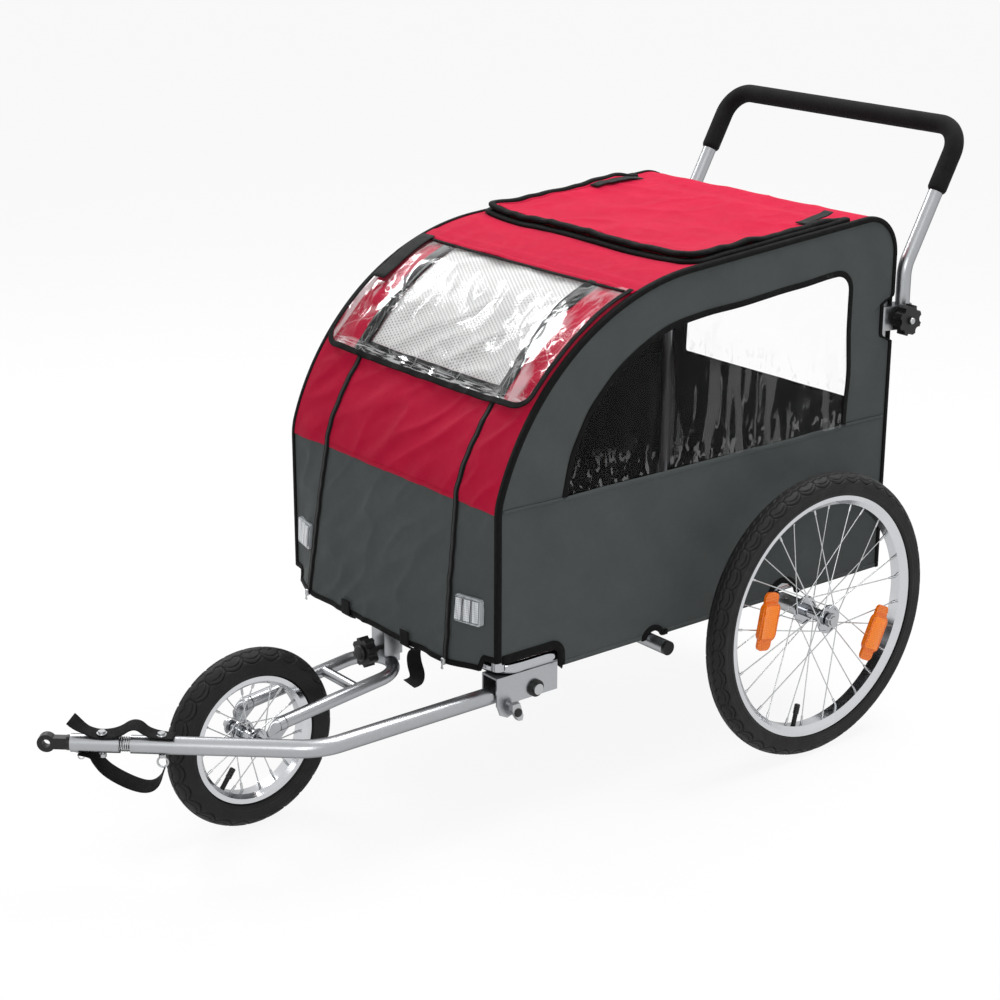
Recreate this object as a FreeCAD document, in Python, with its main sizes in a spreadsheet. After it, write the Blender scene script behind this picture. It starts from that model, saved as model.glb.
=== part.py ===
import FreeCAD, Part
import Sketcher
import math
import os
from types import SimpleNamespace
from FreeCAD import Placement, Rotation, Vector

# Dog bike trailer with a fixed jogger wheel. Millimetres, +X forward to the hitch,
# +Y to the trailer's left, +Z up. Every piece is drawn with the rear axle at x = 0 and
# then shifted by axle_x, so that the origin is on the ground under the middle.

SIZES = {
    # whole trailer
    "axle_x": -423.5,
    "half_track": 364,
    "wheel_base": 906,
    "tube_wall": 1.6,
    "seat_gap": 0.3,
    "run_gap": 0.1,
    # rear wheels, 20 inch
    "rear_rim_dia": 426,
    "rear_tyre_rise": 37,
    "rear_tyre_width": 46,
    "rear_rim_width": 34,
    "rear_rim_depth": 16,
    "rear_spokes": 28,
    "rear_flange_dia": 50,
    "rear_flange_gap": 54,
    "rear_hub_dia": 26,
    "rear_axle_dia": 12,
    "button_dia": 16,
    # front wheel, 12 inch
    "front_rim_dia": 214,
    "front_tyre_rise": 42,
    "front_tyre_width": 50,
    "front_rim_width": 34,
    "front_rim_depth": 14,
    "front_spokes": 20,
    "front_flange_dia": 42,
    "front_flange_gap": 44,
    "front_hub_dia": 24,
    "front_axle_dia": 10,
    # both wheel sizes
    "tyre_wall": 3.5,
    "spoke_dia": 2,
    "flange_thick": 3.2,
    "valve_dia": 8,
    "valve_reach": 36,
    # base frame
    "rail_dia": 25,
    "rail_front": 605,
    "rail_corner": 34,
    "cross_dia": 24,
    "cross_x": 300,
    "cross_half": 314,
    "receiver_dia": 30,
    "floor_thick": 5,
    # cabin cover
    "cabin_half": 281,
    "cabin_front": 626,
    "cabin_rear": 241,
    "hem_drop": 16.5,
    "front_rise": 18,
    "notch_wide": 33,
    "seam_rise": 265.5,
    "hem_bulge": 37,
    "shoulder_rise": 255.5,
    "shoulder_radius": 110,
    "shoulder_turn": 18,
    "arch_radius": 440,
    "roof_slope": 4.2,
    "rear_top_radius": 70,
    "sheet_thick": 2,
    "film_thick": 1,
    "hoop_dia": 22,
    "door_half": 178,
    "top_seam": 347,
    "mesh_drop": 135.5,
    "mesh_border": 22,
    "flap_drop": 157.5,
    "flap_half": 268,
    "flap_corner": 30,
    "flap_setback": 3.5,
    "bar_setback": 24,
    "hatch_front": 222,
    "hatch_rear": 130,
    "hatch_half": 262,
    "hatch_rim": 42,
    "hatch_corner": 45,
    "opening_corner": 40,
    "window_margin": 81,
    "window_shift": 2,
    "window_arc_drop": 50,
    "window_rear": 134,
    "window_corner": 32,
    "window_lap": 8,
    "rear_window_half": 235,
    "rear_window_high": 240,
    "reflector_wide": 52,
    "reflector_high": 44,
    "reflector_rise": 97.5,
    "plate_long": 100,
    "plate_wide": 40,
    "plate_thick": 8,
    "plate_ring": 140,
    # push handle
    "handle_dia": 25,
    "handle_inset": 1,
    "handle_leg": 266,
    "handle_tail": 1,
    "handle_bend_rise": 64,
    "handle_reach": 127,
    "handle_rise": 227,
    "handle_corner": 48,
    "grip_dia": 33,
    "grip_leg": 120,
    "clamp_height": 42,
    "clamp_rise": 440.5,
    "clamp_wall": 4,
    "knob_dia": 54,
    "knob_thick": 18,
    "stem_dia": 8,
    # jogger fork
    "fork_dia": 22,
    "fork_half": 50,
    "fork_rise": 30,
    "brace_setback": 176,
    "brace_dia": 18,
    "post_side": 30,
    "sleeve_wall": 2.7,
    "sleeve_drop": 48.5,
    "sleeve_rise": 19.5,
    "fork_knob_dia": 50,
    "fork_knob_drop": 37.5,
    # tow bar and hitch
    "tow_dia": 28,
    "tow_wall": 2,
    "tow_y": 250,
    "tow_drop": 46.5,
    "tow_stub": 25,
    "tow_pivot": 540,
    "tow_bend": 937,
    "tow_bend_radius": 90,
    "tow_turn": 42,
    "tow_end": 284,
    "spring_gap": 17,
    "spring_wire": 2.4,
    "hitch_length": 74,
    "eye_reach": 37,
    "eye_dia": 28,
    "eye_hole": 13,
    "eye_thick": 14,
    "bracket_rear": 494,
    "bracket_front": 617,
    "bracket_high": 48,
    "bracket_wall": 3,
    "pin_x": 592,
    "pin_drop": 61.5,
    "strap_wide": 25,
    "strap_thick": 1.8,
}


class Dim:
    """A size that carries its number and the sheet formula that gives it."""

    def __init__(self, number, formula):
        self.number = float(number)
        self.formula = formula

    def __float__(self):
        return self.number

    def joined(self, other, sign, number, flipped=False):
        text = other.formula if isinstance(other, Dim) else repr(float(other))
        pair = (text, self.formula) if flipped else (self.formula, text)
        return Dim(number, "(%s %s %s)" % (pair[0], sign, pair[1]))

    def __add__(self, other):
        return self.joined(other, "+", self.number + float(other))

    def __radd__(self, other):
        return self.joined(other, "+", float(other) + self.number, True)

    def __sub__(self, other):
        return self.joined(other, "-", self.number - float(other))

    def __rsub__(self, other):
        return self.joined(other, "-", float(other) - self.number, True)

    def __mul__(self, other):
        return self.joined(other, "*", self.number * float(other))

    def __rmul__(self, other):
        return self.joined(other, "*", float(other) * self.number, True)

    def __truediv__(self, other):
        return self.joined(other, "/", self.number / float(other))

    def __neg__(self):
        return -1 * self


doc = FreeCAD.newDocument("dog_trailer")
sheet = doc.addObject("Spreadsheet::Sheet", "sizes")
for row, (name, number) in enumerate(SIZES.items(), 1):
    sheet.set("A%d" % row, name)
    sheet.set("B%d" % row, str(number))
    sheet.setAlias("B%d" % row, name)
doc.recompute()
S = SimpleNamespace(**{name: Dim(sheet.get(name), "sizes." + name) for name in SIZES})
parts = []

# Heights that follow from the wheels, the rails and the clamps
S.rear_tyre_dia = S.rear_rim_dia + 2 * S.rear_tyre_rise
S.front_tyre_dia = S.front_rim_dia + 2 * S.front_tyre_rise
AXLE_Z = S.rear_tyre_dia / 2
FRONT_Z = S.front_tyre_dia / 2
RAIL_Z = AXLE_Z + S.cross_dia / 2 + S.rail_dia / 2
S.cabin_bottom = RAIL_Z - S.hem_drop
S.seam_height = RAIL_Z + S.seam_rise
S.shoulder_height = RAIL_Z + S.shoulder_rise
S.reflector_height = RAIL_Z + S.reflector_rise
S.clamp_mid = RAIL_Z + S.clamp_rise
S.handle_half = S.cabin_half - S.handle_inset
S.handle_foot = S.clamp_mid - S.clamp_height / 2 - S.handle_tail
S.handle_bend = S.clamp_mid + S.clamp_height / 2 + S.handle_bend_rise
S.handle_top = S.handle_bend + S.handle_rise
S.sleeve_low = RAIL_Z - S.sleeve_drop
S.sleeve_high = RAIL_Z + S.sleeve_rise
S.fork_knob_z = RAIL_Z - S.fork_knob_drop
S.tow_z = RAIL_Z - S.tow_drop
S.tow_start = S.tow_pivot - S.tow_stub
S.pin_z = RAIL_Z - S.pin_drop

Z_TO_Y = Rotation(Vector(1, 0, 0), -90)
Z_TO_MINUS_Y = Rotation(Vector(1, 0, 0), 90)
Z_TO_X = Rotation(Vector(0, 1, 0), 90)


# Binding and document helpers

def bind(obj, prop, size):
    """Ties a property to the sheet, or sets it when the size is a plain number."""
    if isinstance(size, Dim):
        obj.setExpression(prop, size.formula)
    else:
        setattr(obj, prop, size)


def put(obj, x, y, z, rotation=Rotation()):
    """Places an object with its base point tied to the sheet."""
    obj.Placement = Placement(Vector(float(x), float(y), float(z)), rotation)
    for axis, size in zip("xyz", (x, y, z)):
        if isinstance(size, Dim):
            obj.setExpression("Placement.Base." + axis, size.formula)


def keep(obj, label):
    """Names an object as one of the trailer's pieces."""
    obj.Label = label
    parts.append(obj)
    return obj


def solid_piece(label, shape):
    """A piece whose form is swept, lofted or patterned from the sheet's numbers."""
    obj = doc.addObject("Part::Feature", label)
    obj.Shape = shape
    obj.Placement = Placement(Vector(float(S.axle_x), 0, 0), Rotation()) * shape.Placement
    return keep(obj, label)


def cylinder(name, radius, height, at, rotation=Rotation()):
    obj = doc.addObject("Part::Cylinder", name)
    bind(obj, "Radius", radius)
    bind(obj, "Height", height)
    put(obj, at[0], at[1], at[2], rotation)
    return obj


def block(name, length, width, height, at, rotation=Rotation()):
    obj = doc.addObject("Part::Box", name)
    bind(obj, "Length", length)
    bind(obj, "Width", width)
    bind(obj, "Height", height)
    put(obj, at[0], at[1], at[2], rotation)
    return obj


def fuse(name, *shapes):
    obj = doc.addObject("Part::MultiFuse", name)
    obj.Shapes = list(shapes)
    obj.Refine = True
    return obj


def cut(name, base, tool):
    obj = doc.addObject("Part::Cut", name)
    obj.Base = base
    obj.Tool = tool
    obj.Refine = True
    return obj


def compound(name, *shapes):
    obj = doc.addObject("Part::Compound", name)
    obj.Links = list(shapes)
    return obj


def new_body(label):
    return keep(doc.addObject("PartDesign::Body", label), label)


def sketch_on(body, name, role, lift=None):
    """A sketch on one of the body's own origin planes, lifted along its normal."""
    plane = next(f for f in body.Origin.OriginFeatures if f.Role == role)
    sketch = body.newObject("Sketcher::SketchObject", name)
    sketch.AttachmentSupport = [(plane, "")]
    sketch.MapMode = "FlatFace"
    if lift is not None:
        sketch.AttachmentOffset = Placement(Vector(0, 0, float(lift)), Rotation())
        if isinstance(lift, Dim):
            sketch.setExpression("AttachmentOffset.Base.z", lift.formula)
    return sketch


def pin_point(sketch, geo, pos, x, y):
    """Fixes one point of the sketch at sizes measured from its origin."""
    for axis, kind, size in ((-2, "DistanceX", x), (-1, "DistanceY", y)):
        if float(size) == 0:
            sketch.addConstraint(Sketcher.Constraint("PointOnObject", geo, pos, axis))
            continue
        index = sketch.addConstraint(
            Sketcher.Constraint(kind, -1, 1, geo, pos, float(size)))
        if isinstance(size, Dim):
            sketch.setExpression("Constraints[%d]" % index, size.formula)


def outline(sketch, corners):
    """A closed polygon whose corners are pairs of sizes."""
    base = sketch.GeometryCount
    count = len(corners)
    for i, (x, y) in enumerate(corners):
        nx, ny = corners[(i + 1) % count]
        sketch.addGeometry(Part.LineSegment(Vector(float(x), float(y), 0),
                                            Vector(float(nx), float(ny), 0)), False)
    for i in range(count):
        sketch.addConstraint(Sketcher.Constraint(
            "Coincident", base + i, 2, base + (i + 1) % count, 1))
    for i, (x, y) in enumerate(corners):
        pin_point(sketch, base + i, 1, x, y)


def ring(sketch, radius, x=0, y=0):
    """A circle of the sketch, sized and centred from the sheet."""
    geo = sketch.addGeometry(Part.Circle(Vector(float(x), float(y), 0),
                                         Vector(0, 0, 1), float(radius)), False)
    index = sketch.addConstraint(Sketcher.Constraint("Radius", geo, float(radius)))
    if isinstance(radius, Dim):
        sketch.setExpression("Constraints[%d]" % index, radius.formula)
    pin_point(sketch, geo, 3, x, y)


def pad(body, name, sketch, length, reverse=False, both=False):
    feature = body.newObject("PartDesign::Pad", name)
    feature.Profile = sketch
    bind(feature, "Length", length)
    feature.Reversed = reverse
    feature.Midplane = both
    body.Tip = feature
    return feature


def pocket(body, name, sketch, length, reverse=False, both=False):
    feature = body.newObject("PartDesign::Pocket", name)
    feature.Profile = sketch
    bind(feature, "Length", length)
    feature.Reversed = reverse
    feature.Midplane = both
    body.Tip = feature
    return feature


def spin(body, name, sketch):
    """A full turn of the sketch about the body's own Y axis."""
    feature = body.newObject("PartDesign::Revolution", name)
    feature.Profile = sketch
    feature.ReferenceAxis = (sketch, ["V_Axis"])
    feature.Angle = 360
    body.Tip = feature
    return feature


# Swept and bent forms

def line(a, b):
    return Part.LineSegment(a, b).toShape()


def bent_path(corners, radii):
    """Straight runs joined by tangent arcs, one radius for each inner corner."""
    edges = []
    start = corners[0]
    for before, corner, after, radius in zip(corners, corners[1:], corners[2:], radii):
        back = (before - corner).normalize()
        ahead = (after - corner).normalize()
        half = back.getAngle(ahead) / 2
        inward = (back + ahead).normalize()
        first = corner + back * (radius / math.tan(half))
        last = corner + ahead * (radius / math.tan(half))
        middle = corner + inward * (radius / math.sin(half) - radius)
        edges += [line(start, first), Part.Arc(first, middle, last).toShape()]
        start = last
    return edges + [line(start, corners[-1])]


def round_bar(edges, diameter):
    """A round bar along a path: a cylinder for each straight, a torus piece for each arc."""
    lengths = []
    for edge in edges:
        start = edge.valueAt(edge.FirstParameter)
        along = edge.tangentAt(edge.FirstParameter)
        if isinstance(edge.Curve, Part.Line):
            lengths.append(Part.makeCylinder(diameter / 2, edge.Length, start, along))
        else:
            disc = Part.Face(Part.Wire(Part.makeCircle(diameter / 2, start, along)))
            turn = math.degrees(edge.LastParameter - edge.FirstParameter)
            lengths.append(disc.revolve(edge.Curve.Center, edge.Curve.Axis, turn))
    if len(lengths) == 1:
        return lengths[0]
    return lengths[0].multiFuse(lengths[1:]).removeSplitter().Solids[0]


def wire_coil(edges, diameter):
    """One unbroken round wire along many short arcs."""
    wire = Part.Wire(edges)
    start = wire.Edges[0].valueAt(wire.Edges[0].FirstParameter)
    along = wire.Edges[0].tangentAt(wire.Edges[0].FirstParameter)
    section = Part.Wire(Part.makeCircle(diameter / 2, start, along))
    return wire.makePipeShell([section], True, False)


def round_tube(edges, diameter, wall):
    """A hollow tube along a path of tangent edges, open at both ends."""
    return round_bar(edges, diameter).cut(round_bar(edges, diameter - 2 * wall))


def strap_band(edges, across, wide, thick):
    """A flat band along a plane path; across is the direction of its width."""
    wire = Part.Wire(edges)
    start = wire.Edges[0].valueAt(wire.Edges[0].FirstParameter)
    along = wire.Edges[0].tangentAt(wire.Edges[0].FirstParameter)
    up = along.cross(across).normalize()
    corners = [start + across * (sx * wide / 2) + up * (sy * thick / 2)
               for sx, sy in ((-1, -1), (1, -1), (1, 1), (-1, 1))]
    section = Part.makePolygon(corners + corners[:1])
    return wire.makePipeShell([section], True, False)


# Wheels

def rim(label, dia, width, depth, turn, at):
    """Single-wall alloy rim: hooked edges over a dropped well, with a valve hole."""
    body = new_body(label)
    sketch = sketch_on(body, label + "_section", "XY_Plane")
    edge, half = dia / 2, width / 2
    well = edge - depth
    outline(sketch, [(edge, half), (edge, half - 2.6), (edge - 5, half - 2.6),
                     (well + 3, half / 2), (well + 3, -(half / 2)),
                     (edge - 5, 2.6 - half), (edge, 2.6 - half), (edge, -half),
                     (edge - 8, -half), (well, 1.6 - half / 2 - 3.2),
                     (well, half / 2 + 1.6), (edge - 8, half)])
    spin(body, label + "_turn", sketch)
    hole = sketch_on(body, label + "_valve_hole", "YZ_Plane")
    ring(hole, S.valve_dia / 2 + S.seat_gap)
    pocket(body, label + "_valve_pocket", hole, dia, reverse=True)
    put(body, *at, Rotation(Vector(0, 1, 0), float(turn)))
    return body


def tyre(label, dia, width, rim_dia, at):
    """Tyre casing: an open arched section standing on the rim's edges."""
    outer = float(width) / 2
    inner = outer - float(S.tyre_wall)
    middle = float(dia) / 2 - outer
    foot = float(rim_dia) / 2 + float(S.seat_gap)
    drop = middle - foot

    def on(radius, side):
        return Vector(foot, side * math.sqrt(radius ** 2 - drop ** 2), 0)

    edges = [Part.Arc(on(outer, -1), Vector(middle + outer, 0, 0), on(outer, 1)).toShape(),
             line(on(outer, 1), on(inner, 1)),
             Part.Arc(on(inner, 1), Vector(middle + inner, 0, 0), on(inner, -1)).toShape(),
             line(on(inner, -1), on(outer, -1))]
    section = Part.Face(Part.Wire(edges))
    shape = section.revolve(Vector(0, 0, 0), Vector(0, 1, 0), 360)
    shape.translate(Vector(*[float(v) for v in at]))
    return solid_piece(label, Part.Solid(shape) if shape.ShapeType == "Shell" else shape)


def inner_tube(label, dia, width, rim_dia, rim_depth, turn, at):
    """Air tube inside the casing, with its valve standing in through the rim."""
    middle = float(dia) / 2 - float(width) / 2
    tube_radius = float(width) / 2 - float(S.tyre_wall) - 1.5
    well = float(rim_dia) / 2 - float(rim_depth)
    skin = Part.makeTorus(middle, tube_radius, Vector(), Vector(0, 1, 0))
    air = Part.makeTorus(middle, tube_radius - 1.2, Vector(), Vector(0, 1, 0))
    stem = Part.makeCylinder(float(S.valve_dia) / 2,
                             middle - tube_radius - well + float(S.valve_reach),
                             Vector(well - float(S.valve_reach), 0, 0), Vector(1, 0, 0))
    shape = skin.fuse(stem).cut(air)
    shape.rotate(Vector(), Vector(0, 1, 0), float(turn))
    shape.translate(Vector(*[float(v) for v in at]))
    return solid_piece(label, shape)


def hub(label, shell_dia, flange_dia, gap, bore_dia, half_length, at):
    """Hub shell with two spoke flanges, bored for the axle."""
    body = new_body(label)
    sketch = sketch_on(body, label + "_section", "XY_Plane")
    bore = bore_dia / 2 + S.run_gap
    shell, flange = shell_dia / 2, flange_dia / 2
    near = gap / 2 - S.flange_thick / 2
    far = gap / 2 + S.flange_thick / 2
    neck = shell * 0.72
    outline(sketch, [(bore, half_length), (neck, half_length), (neck, far + 0.6), (shell, far),
                     (flange, far), (flange, near), (shell * 0.8, near),
                     (shell * 0.8, -near), (flange, -near), (flange, -far), (shell, -far),
                     (neck, -(far + 0.6)), (neck, -half_length), (bore, -half_length)])
    spin(body, label + "_turn", sketch)
    put(body, *at)
    return body


def spokes(label, count, flange_dia, gap, rim_dia, rim_depth, at):
    """Tangent spokes laced three over: leading ones outside the flange, trailing inside."""
    total = int(round(float(count)))
    ring_hub = float(flange_dia) / 2 - 4
    ring_rim = float(rim_dia) / 2 - float(rim_depth) + 1.5
    radius = float(S.spoke_dia) / 2
    lean = 3 * 2 * 360.0 / total
    bars = []
    for k in range(total):
        side = 1 if k % 2 == 0 else -1
        leading = 1 if (k // 2) % 2 == 0 else -1
        at_rim = 360.0 * (k + 0.5) / total
        at_hub = at_rim - leading * lean
        foot = Vector(ring_hub * math.cos(math.radians(at_hub)),
                      side * float(gap) / 2 + leading * 3.0,
                      ring_hub * math.sin(math.radians(at_hub)))
        tip = Vector(ring_rim * math.cos(math.radians(at_rim)), side * 3.2 + leading * 1.3,
                     ring_rim * math.sin(math.radians(at_rim)))
        span = tip - foot
        bar = Part.makeCylinder(radius, span.Length, foot, span)
        head = Part.makeSphere(radius * 1.1, foot)
        nipple = Part.makeCylinder(radius * 2, 14, tip - span.normalize() * 14, tip - foot)
        bars.append(bar.fuse([head, nipple]).removeSplitter())
    least = min(a.distToShape(b)[0] for a, b in zip(bars, bars[2:] + bars[:2]))
    for step in (6, 10):
        least = min(least, min(a.distToShape(b)[0]
                               for a, b in zip(bars, bars[step:] + bars[:step])))
    print("%s: least gap between crossing spokes %.2f mm" % (label, least))
    shape = Part.makeCompound(bars)
    shape.translate(Vector(*[float(v) for v in at]))
    solid_piece(label, shape)
    return shape


def spoke_plates(label, laced, side, at):
    """Two clip-on reflectors that lie on the outer spokes, along the wheel's turn."""
    ring, plates = float(S.plate_ring), []
    wide, thick, long = float(S.plate_wide), float(S.plate_thick), float(S.plate_long)

    def slab(radial, deep, around):
        box = Part.makeBox(radial, deep, around, Vector(-radial / 2, 0, -around / 2))
        upright = [e for e in box.Edges if abs(e.tangentAt(e.FirstParameter).y) > 0.9]
        return box.makeFillet(radial * 0.3, upright)

    for turn in (11, 205):
        plate = slab(wide, thick, long * 0.66).fuse(slab(wide * 0.76, thick * 0.6, long))
        reach = Part.makeBox(wide, 200, long, Vector(-wide / 2, 0, -long / 2))
        if side < 0:
            plate = plate.mirror(Vector(), Vector(0, 1, 0))
            reach = reach.mirror(Vector(), Vector(0, 1, 0))
        for shape in (plate, reach):
            shape.translate(Vector(ring, 0, 0))
            shape.rotate(Vector(), Vector(0, 1, 0), -turn)
            shape.translate(Vector(*[float(v) for v in at]))
        near = laced.common(reach).BoundBox
        face = near.YMax + GAP if side > 0 else near.YMin - GAP
        plate.translate(Vector(0, face - float(at[1]), 0))
        plates.append(plate.removeSplitter())
    return solid_piece(label, Part.makeCompound(plates))


GAP = float(S.seat_gap)
HUB_HALF = S.rear_flange_gap / 2 + 3
# The wheels stand with their valves low, a whole number of spokes round from straight ahead
REAR_VALVE = 6 * 360 / float(S.rear_spokes)
FRONT_VALVE = 3 * 360 / float(S.front_spokes)

for side_name, side in (("left", 1), ("right", -1)):
    wheel_y = S.half_track * side
    centre = (S.axle_x, wheel_y, AXLE_Z)
    local = (0, wheel_y, AXLE_Z)
    rim(side_name + "_rim", S.rear_rim_dia, S.rear_rim_width, S.rear_rim_depth, REAR_VALVE,
        centre)
    tyre(side_name + "_tyre", S.rear_tyre_dia, S.rear_tyre_width, S.rear_rim_dia, local)
    inner_tube(side_name + "_inner_tube", S.rear_tyre_dia, S.rear_tyre_width,
               S.rear_rim_dia, S.rear_rim_depth, REAR_VALVE, local)
    hub(side_name + "_hub", S.rear_hub_dia, S.rear_flange_dia, S.rear_flange_gap,
        S.rear_axle_dia, HUB_HALF, centre)
    laced = spokes(side_name + "_spokes", S.rear_spokes, S.rear_flange_dia, S.rear_flange_gap,
                   S.rear_rim_dia, S.rear_rim_depth, local)
    spoke_plates(side_name + "_spoke_reflectors", laced, side, local)

front_centre = (S.axle_x + S.wheel_base, 0, FRONT_Z)
front_local = (S.wheel_base, 0, FRONT_Z)
rim("front_rim", S.front_rim_dia, S.front_rim_width, S.front_rim_depth, FRONT_VALVE,
    front_centre)
tyre("front_tyre", S.front_tyre_dia, S.front_tyre_width, S.front_rim_dia, front_local)
inner_tube("front_inner_tube", S.front_tyre_dia, S.front_tyre_width, S.front_rim_dia,
           S.front_rim_depth, FRONT_VALVE, front_local)
hub("front_hub", S.front_hub_dia, S.front_flange_dia, S.front_flange_gap,
    S.front_axle_dia, S.fork_half - 4.5, front_centre)
spokes("front_spokes", S.front_spokes, S.front_flange_dia, S.front_flange_gap,
       S.front_rim_dia, S.front_rim_depth, front_local)


# Base frame: a bent U of tube closed by a rear rail, standing on two cross tubes

RAIL_Y = S.cabin_half - S.sheet_thick - S.seat_gap - S.rail_dia / 2
RAIL_REAR = S.cabin_rear - S.sheet_thick - S.seat_gap - S.rail_dia / 2


def rail_edges():
    x0, x1 = -float(RAIL_REAR) - float(S.rail_dia) / 2, float(S.rail_front)
    y, z, r = float(RAIL_Y), float(RAIL_Z), float(S.rail_corner)
    return bent_path([Vector(x0, y, z), Vector(x1, y, z), Vector(x1, -y, z),
                      Vector(x0, -y, z)], [r, r])


rail_solid = round_bar(rail_edges(), float(S.rail_dia))


def straight_tube(start, end, diameter, wall):
    return round_tube([line(start, end)], float(diameter), float(wall))


rear_rail = straight_tube(Vector(-float(RAIL_REAR), float(RAIL_Y), float(RAIL_Z)),
                          Vector(-float(RAIL_REAR), -float(RAIL_Y), float(RAIL_Z)),
                          S.rail_dia, S.tube_wall)
rear_rail = max(rear_rail.cut(rail_solid).Solids, key=lambda s: s.Volume)
bent_rail = round_tube(rail_edges(), float(S.rail_dia), float(S.tube_wall))


def cross_tube(label, x, half, wall):
    """A cross tube under both side rails."""
    outer = cylinder(label + "_outer", S.cross_dia / 2, half * 2,
                     (S.axle_x + x, -half, AXLE_Z), Z_TO_Y)
    inner = cylinder(label + "_bore", S.cross_dia / 2 - wall, half * 2,
                     (S.axle_x + x, -half, AXLE_Z), Z_TO_Y)
    return cut(label + "_cut", outer, inner)


AXLE_TUBE_HALF = S.cabin_half - S.sheet_thick
keep(compound("cross_tube_pair", cross_tube("axle_tube", 0, AXLE_TUBE_HALF, S.tube_wall),
              cross_tube("front_cross_tube", S.cross_x, S.cross_half, S.tube_wall)),
     "cross_tubes")

plug_bits = []
for side_name, side in (("left", 1), ("right", -1)):
    turn = Z_TO_Y if side > 0 else Z_TO_MINUS_Y
    head = cylinder(side_name + "_plug_head", S.cross_dia / 2, 6,
                    (S.axle_x + S.cross_x, S.cross_half * side, AXLE_Z), turn)
    shank = cylinder(side_name + "_plug_shank", S.cross_dia / 2 - S.tube_wall - S.run_gap, 16,
                     (S.axle_x + S.cross_x, (S.cross_half - 12) * side, AXLE_Z), turn)
    plug_bits.append(fuse(side_name + "_plug", head, shank))
keep(compound("plug_pair", *plug_bits), "cross_tube_plugs")

RECEIVER_END = S.half_track - HUB_HALF - 2
receivers = []
for side_name, side in (("left", 1), ("right", -1)):
    turn = Z_TO_Y if side > 0 else Z_TO_MINUS_Y
    long = RECEIVER_END - AXLE_TUBE_HALF
    outer = cylinder(side_name + "_receiver_outer", S.receiver_dia / 2, long,
                     (S.axle_x, AXLE_TUBE_HALF * side, AXLE_Z), turn)
    bore = cylinder(side_name + "_receiver_bore", S.rear_axle_dia / 2 + S.run_gap, long,
                    (S.axle_x, AXLE_TUBE_HALF * side, AXLE_Z), turn)
    receivers.append(cut(side_name + "_receiver", outer, bore))
keep(compound("receiver_pair", *receivers), "axle_receivers")

AXLE_OUT = S.half_track + HUB_HALF + 1.5
axles = []
for side_name, side in (("left", 1), ("right", -1)):
    turn = Z_TO_Y if side > 0 else Z_TO_MINUS_Y
    pin = cylinder(side_name + "_axle_pin", S.rear_axle_dia / 2, AXLE_OUT - AXLE_TUBE_HALF - 4,
                   (S.axle_x, (AXLE_TUBE_HALF + 4) * side, AXLE_Z), turn)
    collar = cylinder(side_name + "_axle_collar", S.button_dia / 2 + 4, 7,
                      (S.axle_x, AXLE_OUT * side, AXLE_Z), turn)
    socket = cylinder(side_name + "_axle_socket", S.button_dia / 2 + S.seat_gap, 8,
                      (S.axle_x, (AXLE_OUT + 1) * side, AXLE_Z), turn)
    axles.append(cut(side_name + "_axle", fuse(side_name + "_axle_whole", pin, collar), socket))
    keep(cylinder(side_name + "_button_pin", S.button_dia / 2, 5,
                  (S.axle_x, (AXLE_OUT + 4.2) * side, AXLE_Z), turn),
         side_name + "_release_button")
keep(compound("axle_pair", *axles), "rear_axles")

floor = new_body("floor_panel")
floor_sketch = sketch_on(floor, "floor_outline", "XY_Plane")
floor_front, floor_rear = S.rail_front - 22, -(RAIL_REAR - 22)
outline(floor_sketch, [(floor_rear, -RAIL_Y), (floor_front, -RAIL_Y),
                       (floor_front, RAIL_Y), (floor_rear, RAIL_Y)])
pad(floor, "floor_board", floor_sketch, S.floor_thick)
put(floor, S.axle_x, 0, RAIL_Z + S.rail_dia / 2)


# Cabin profile: upright front, shoulder, long arch, sloping roof and rounded rear top

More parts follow.
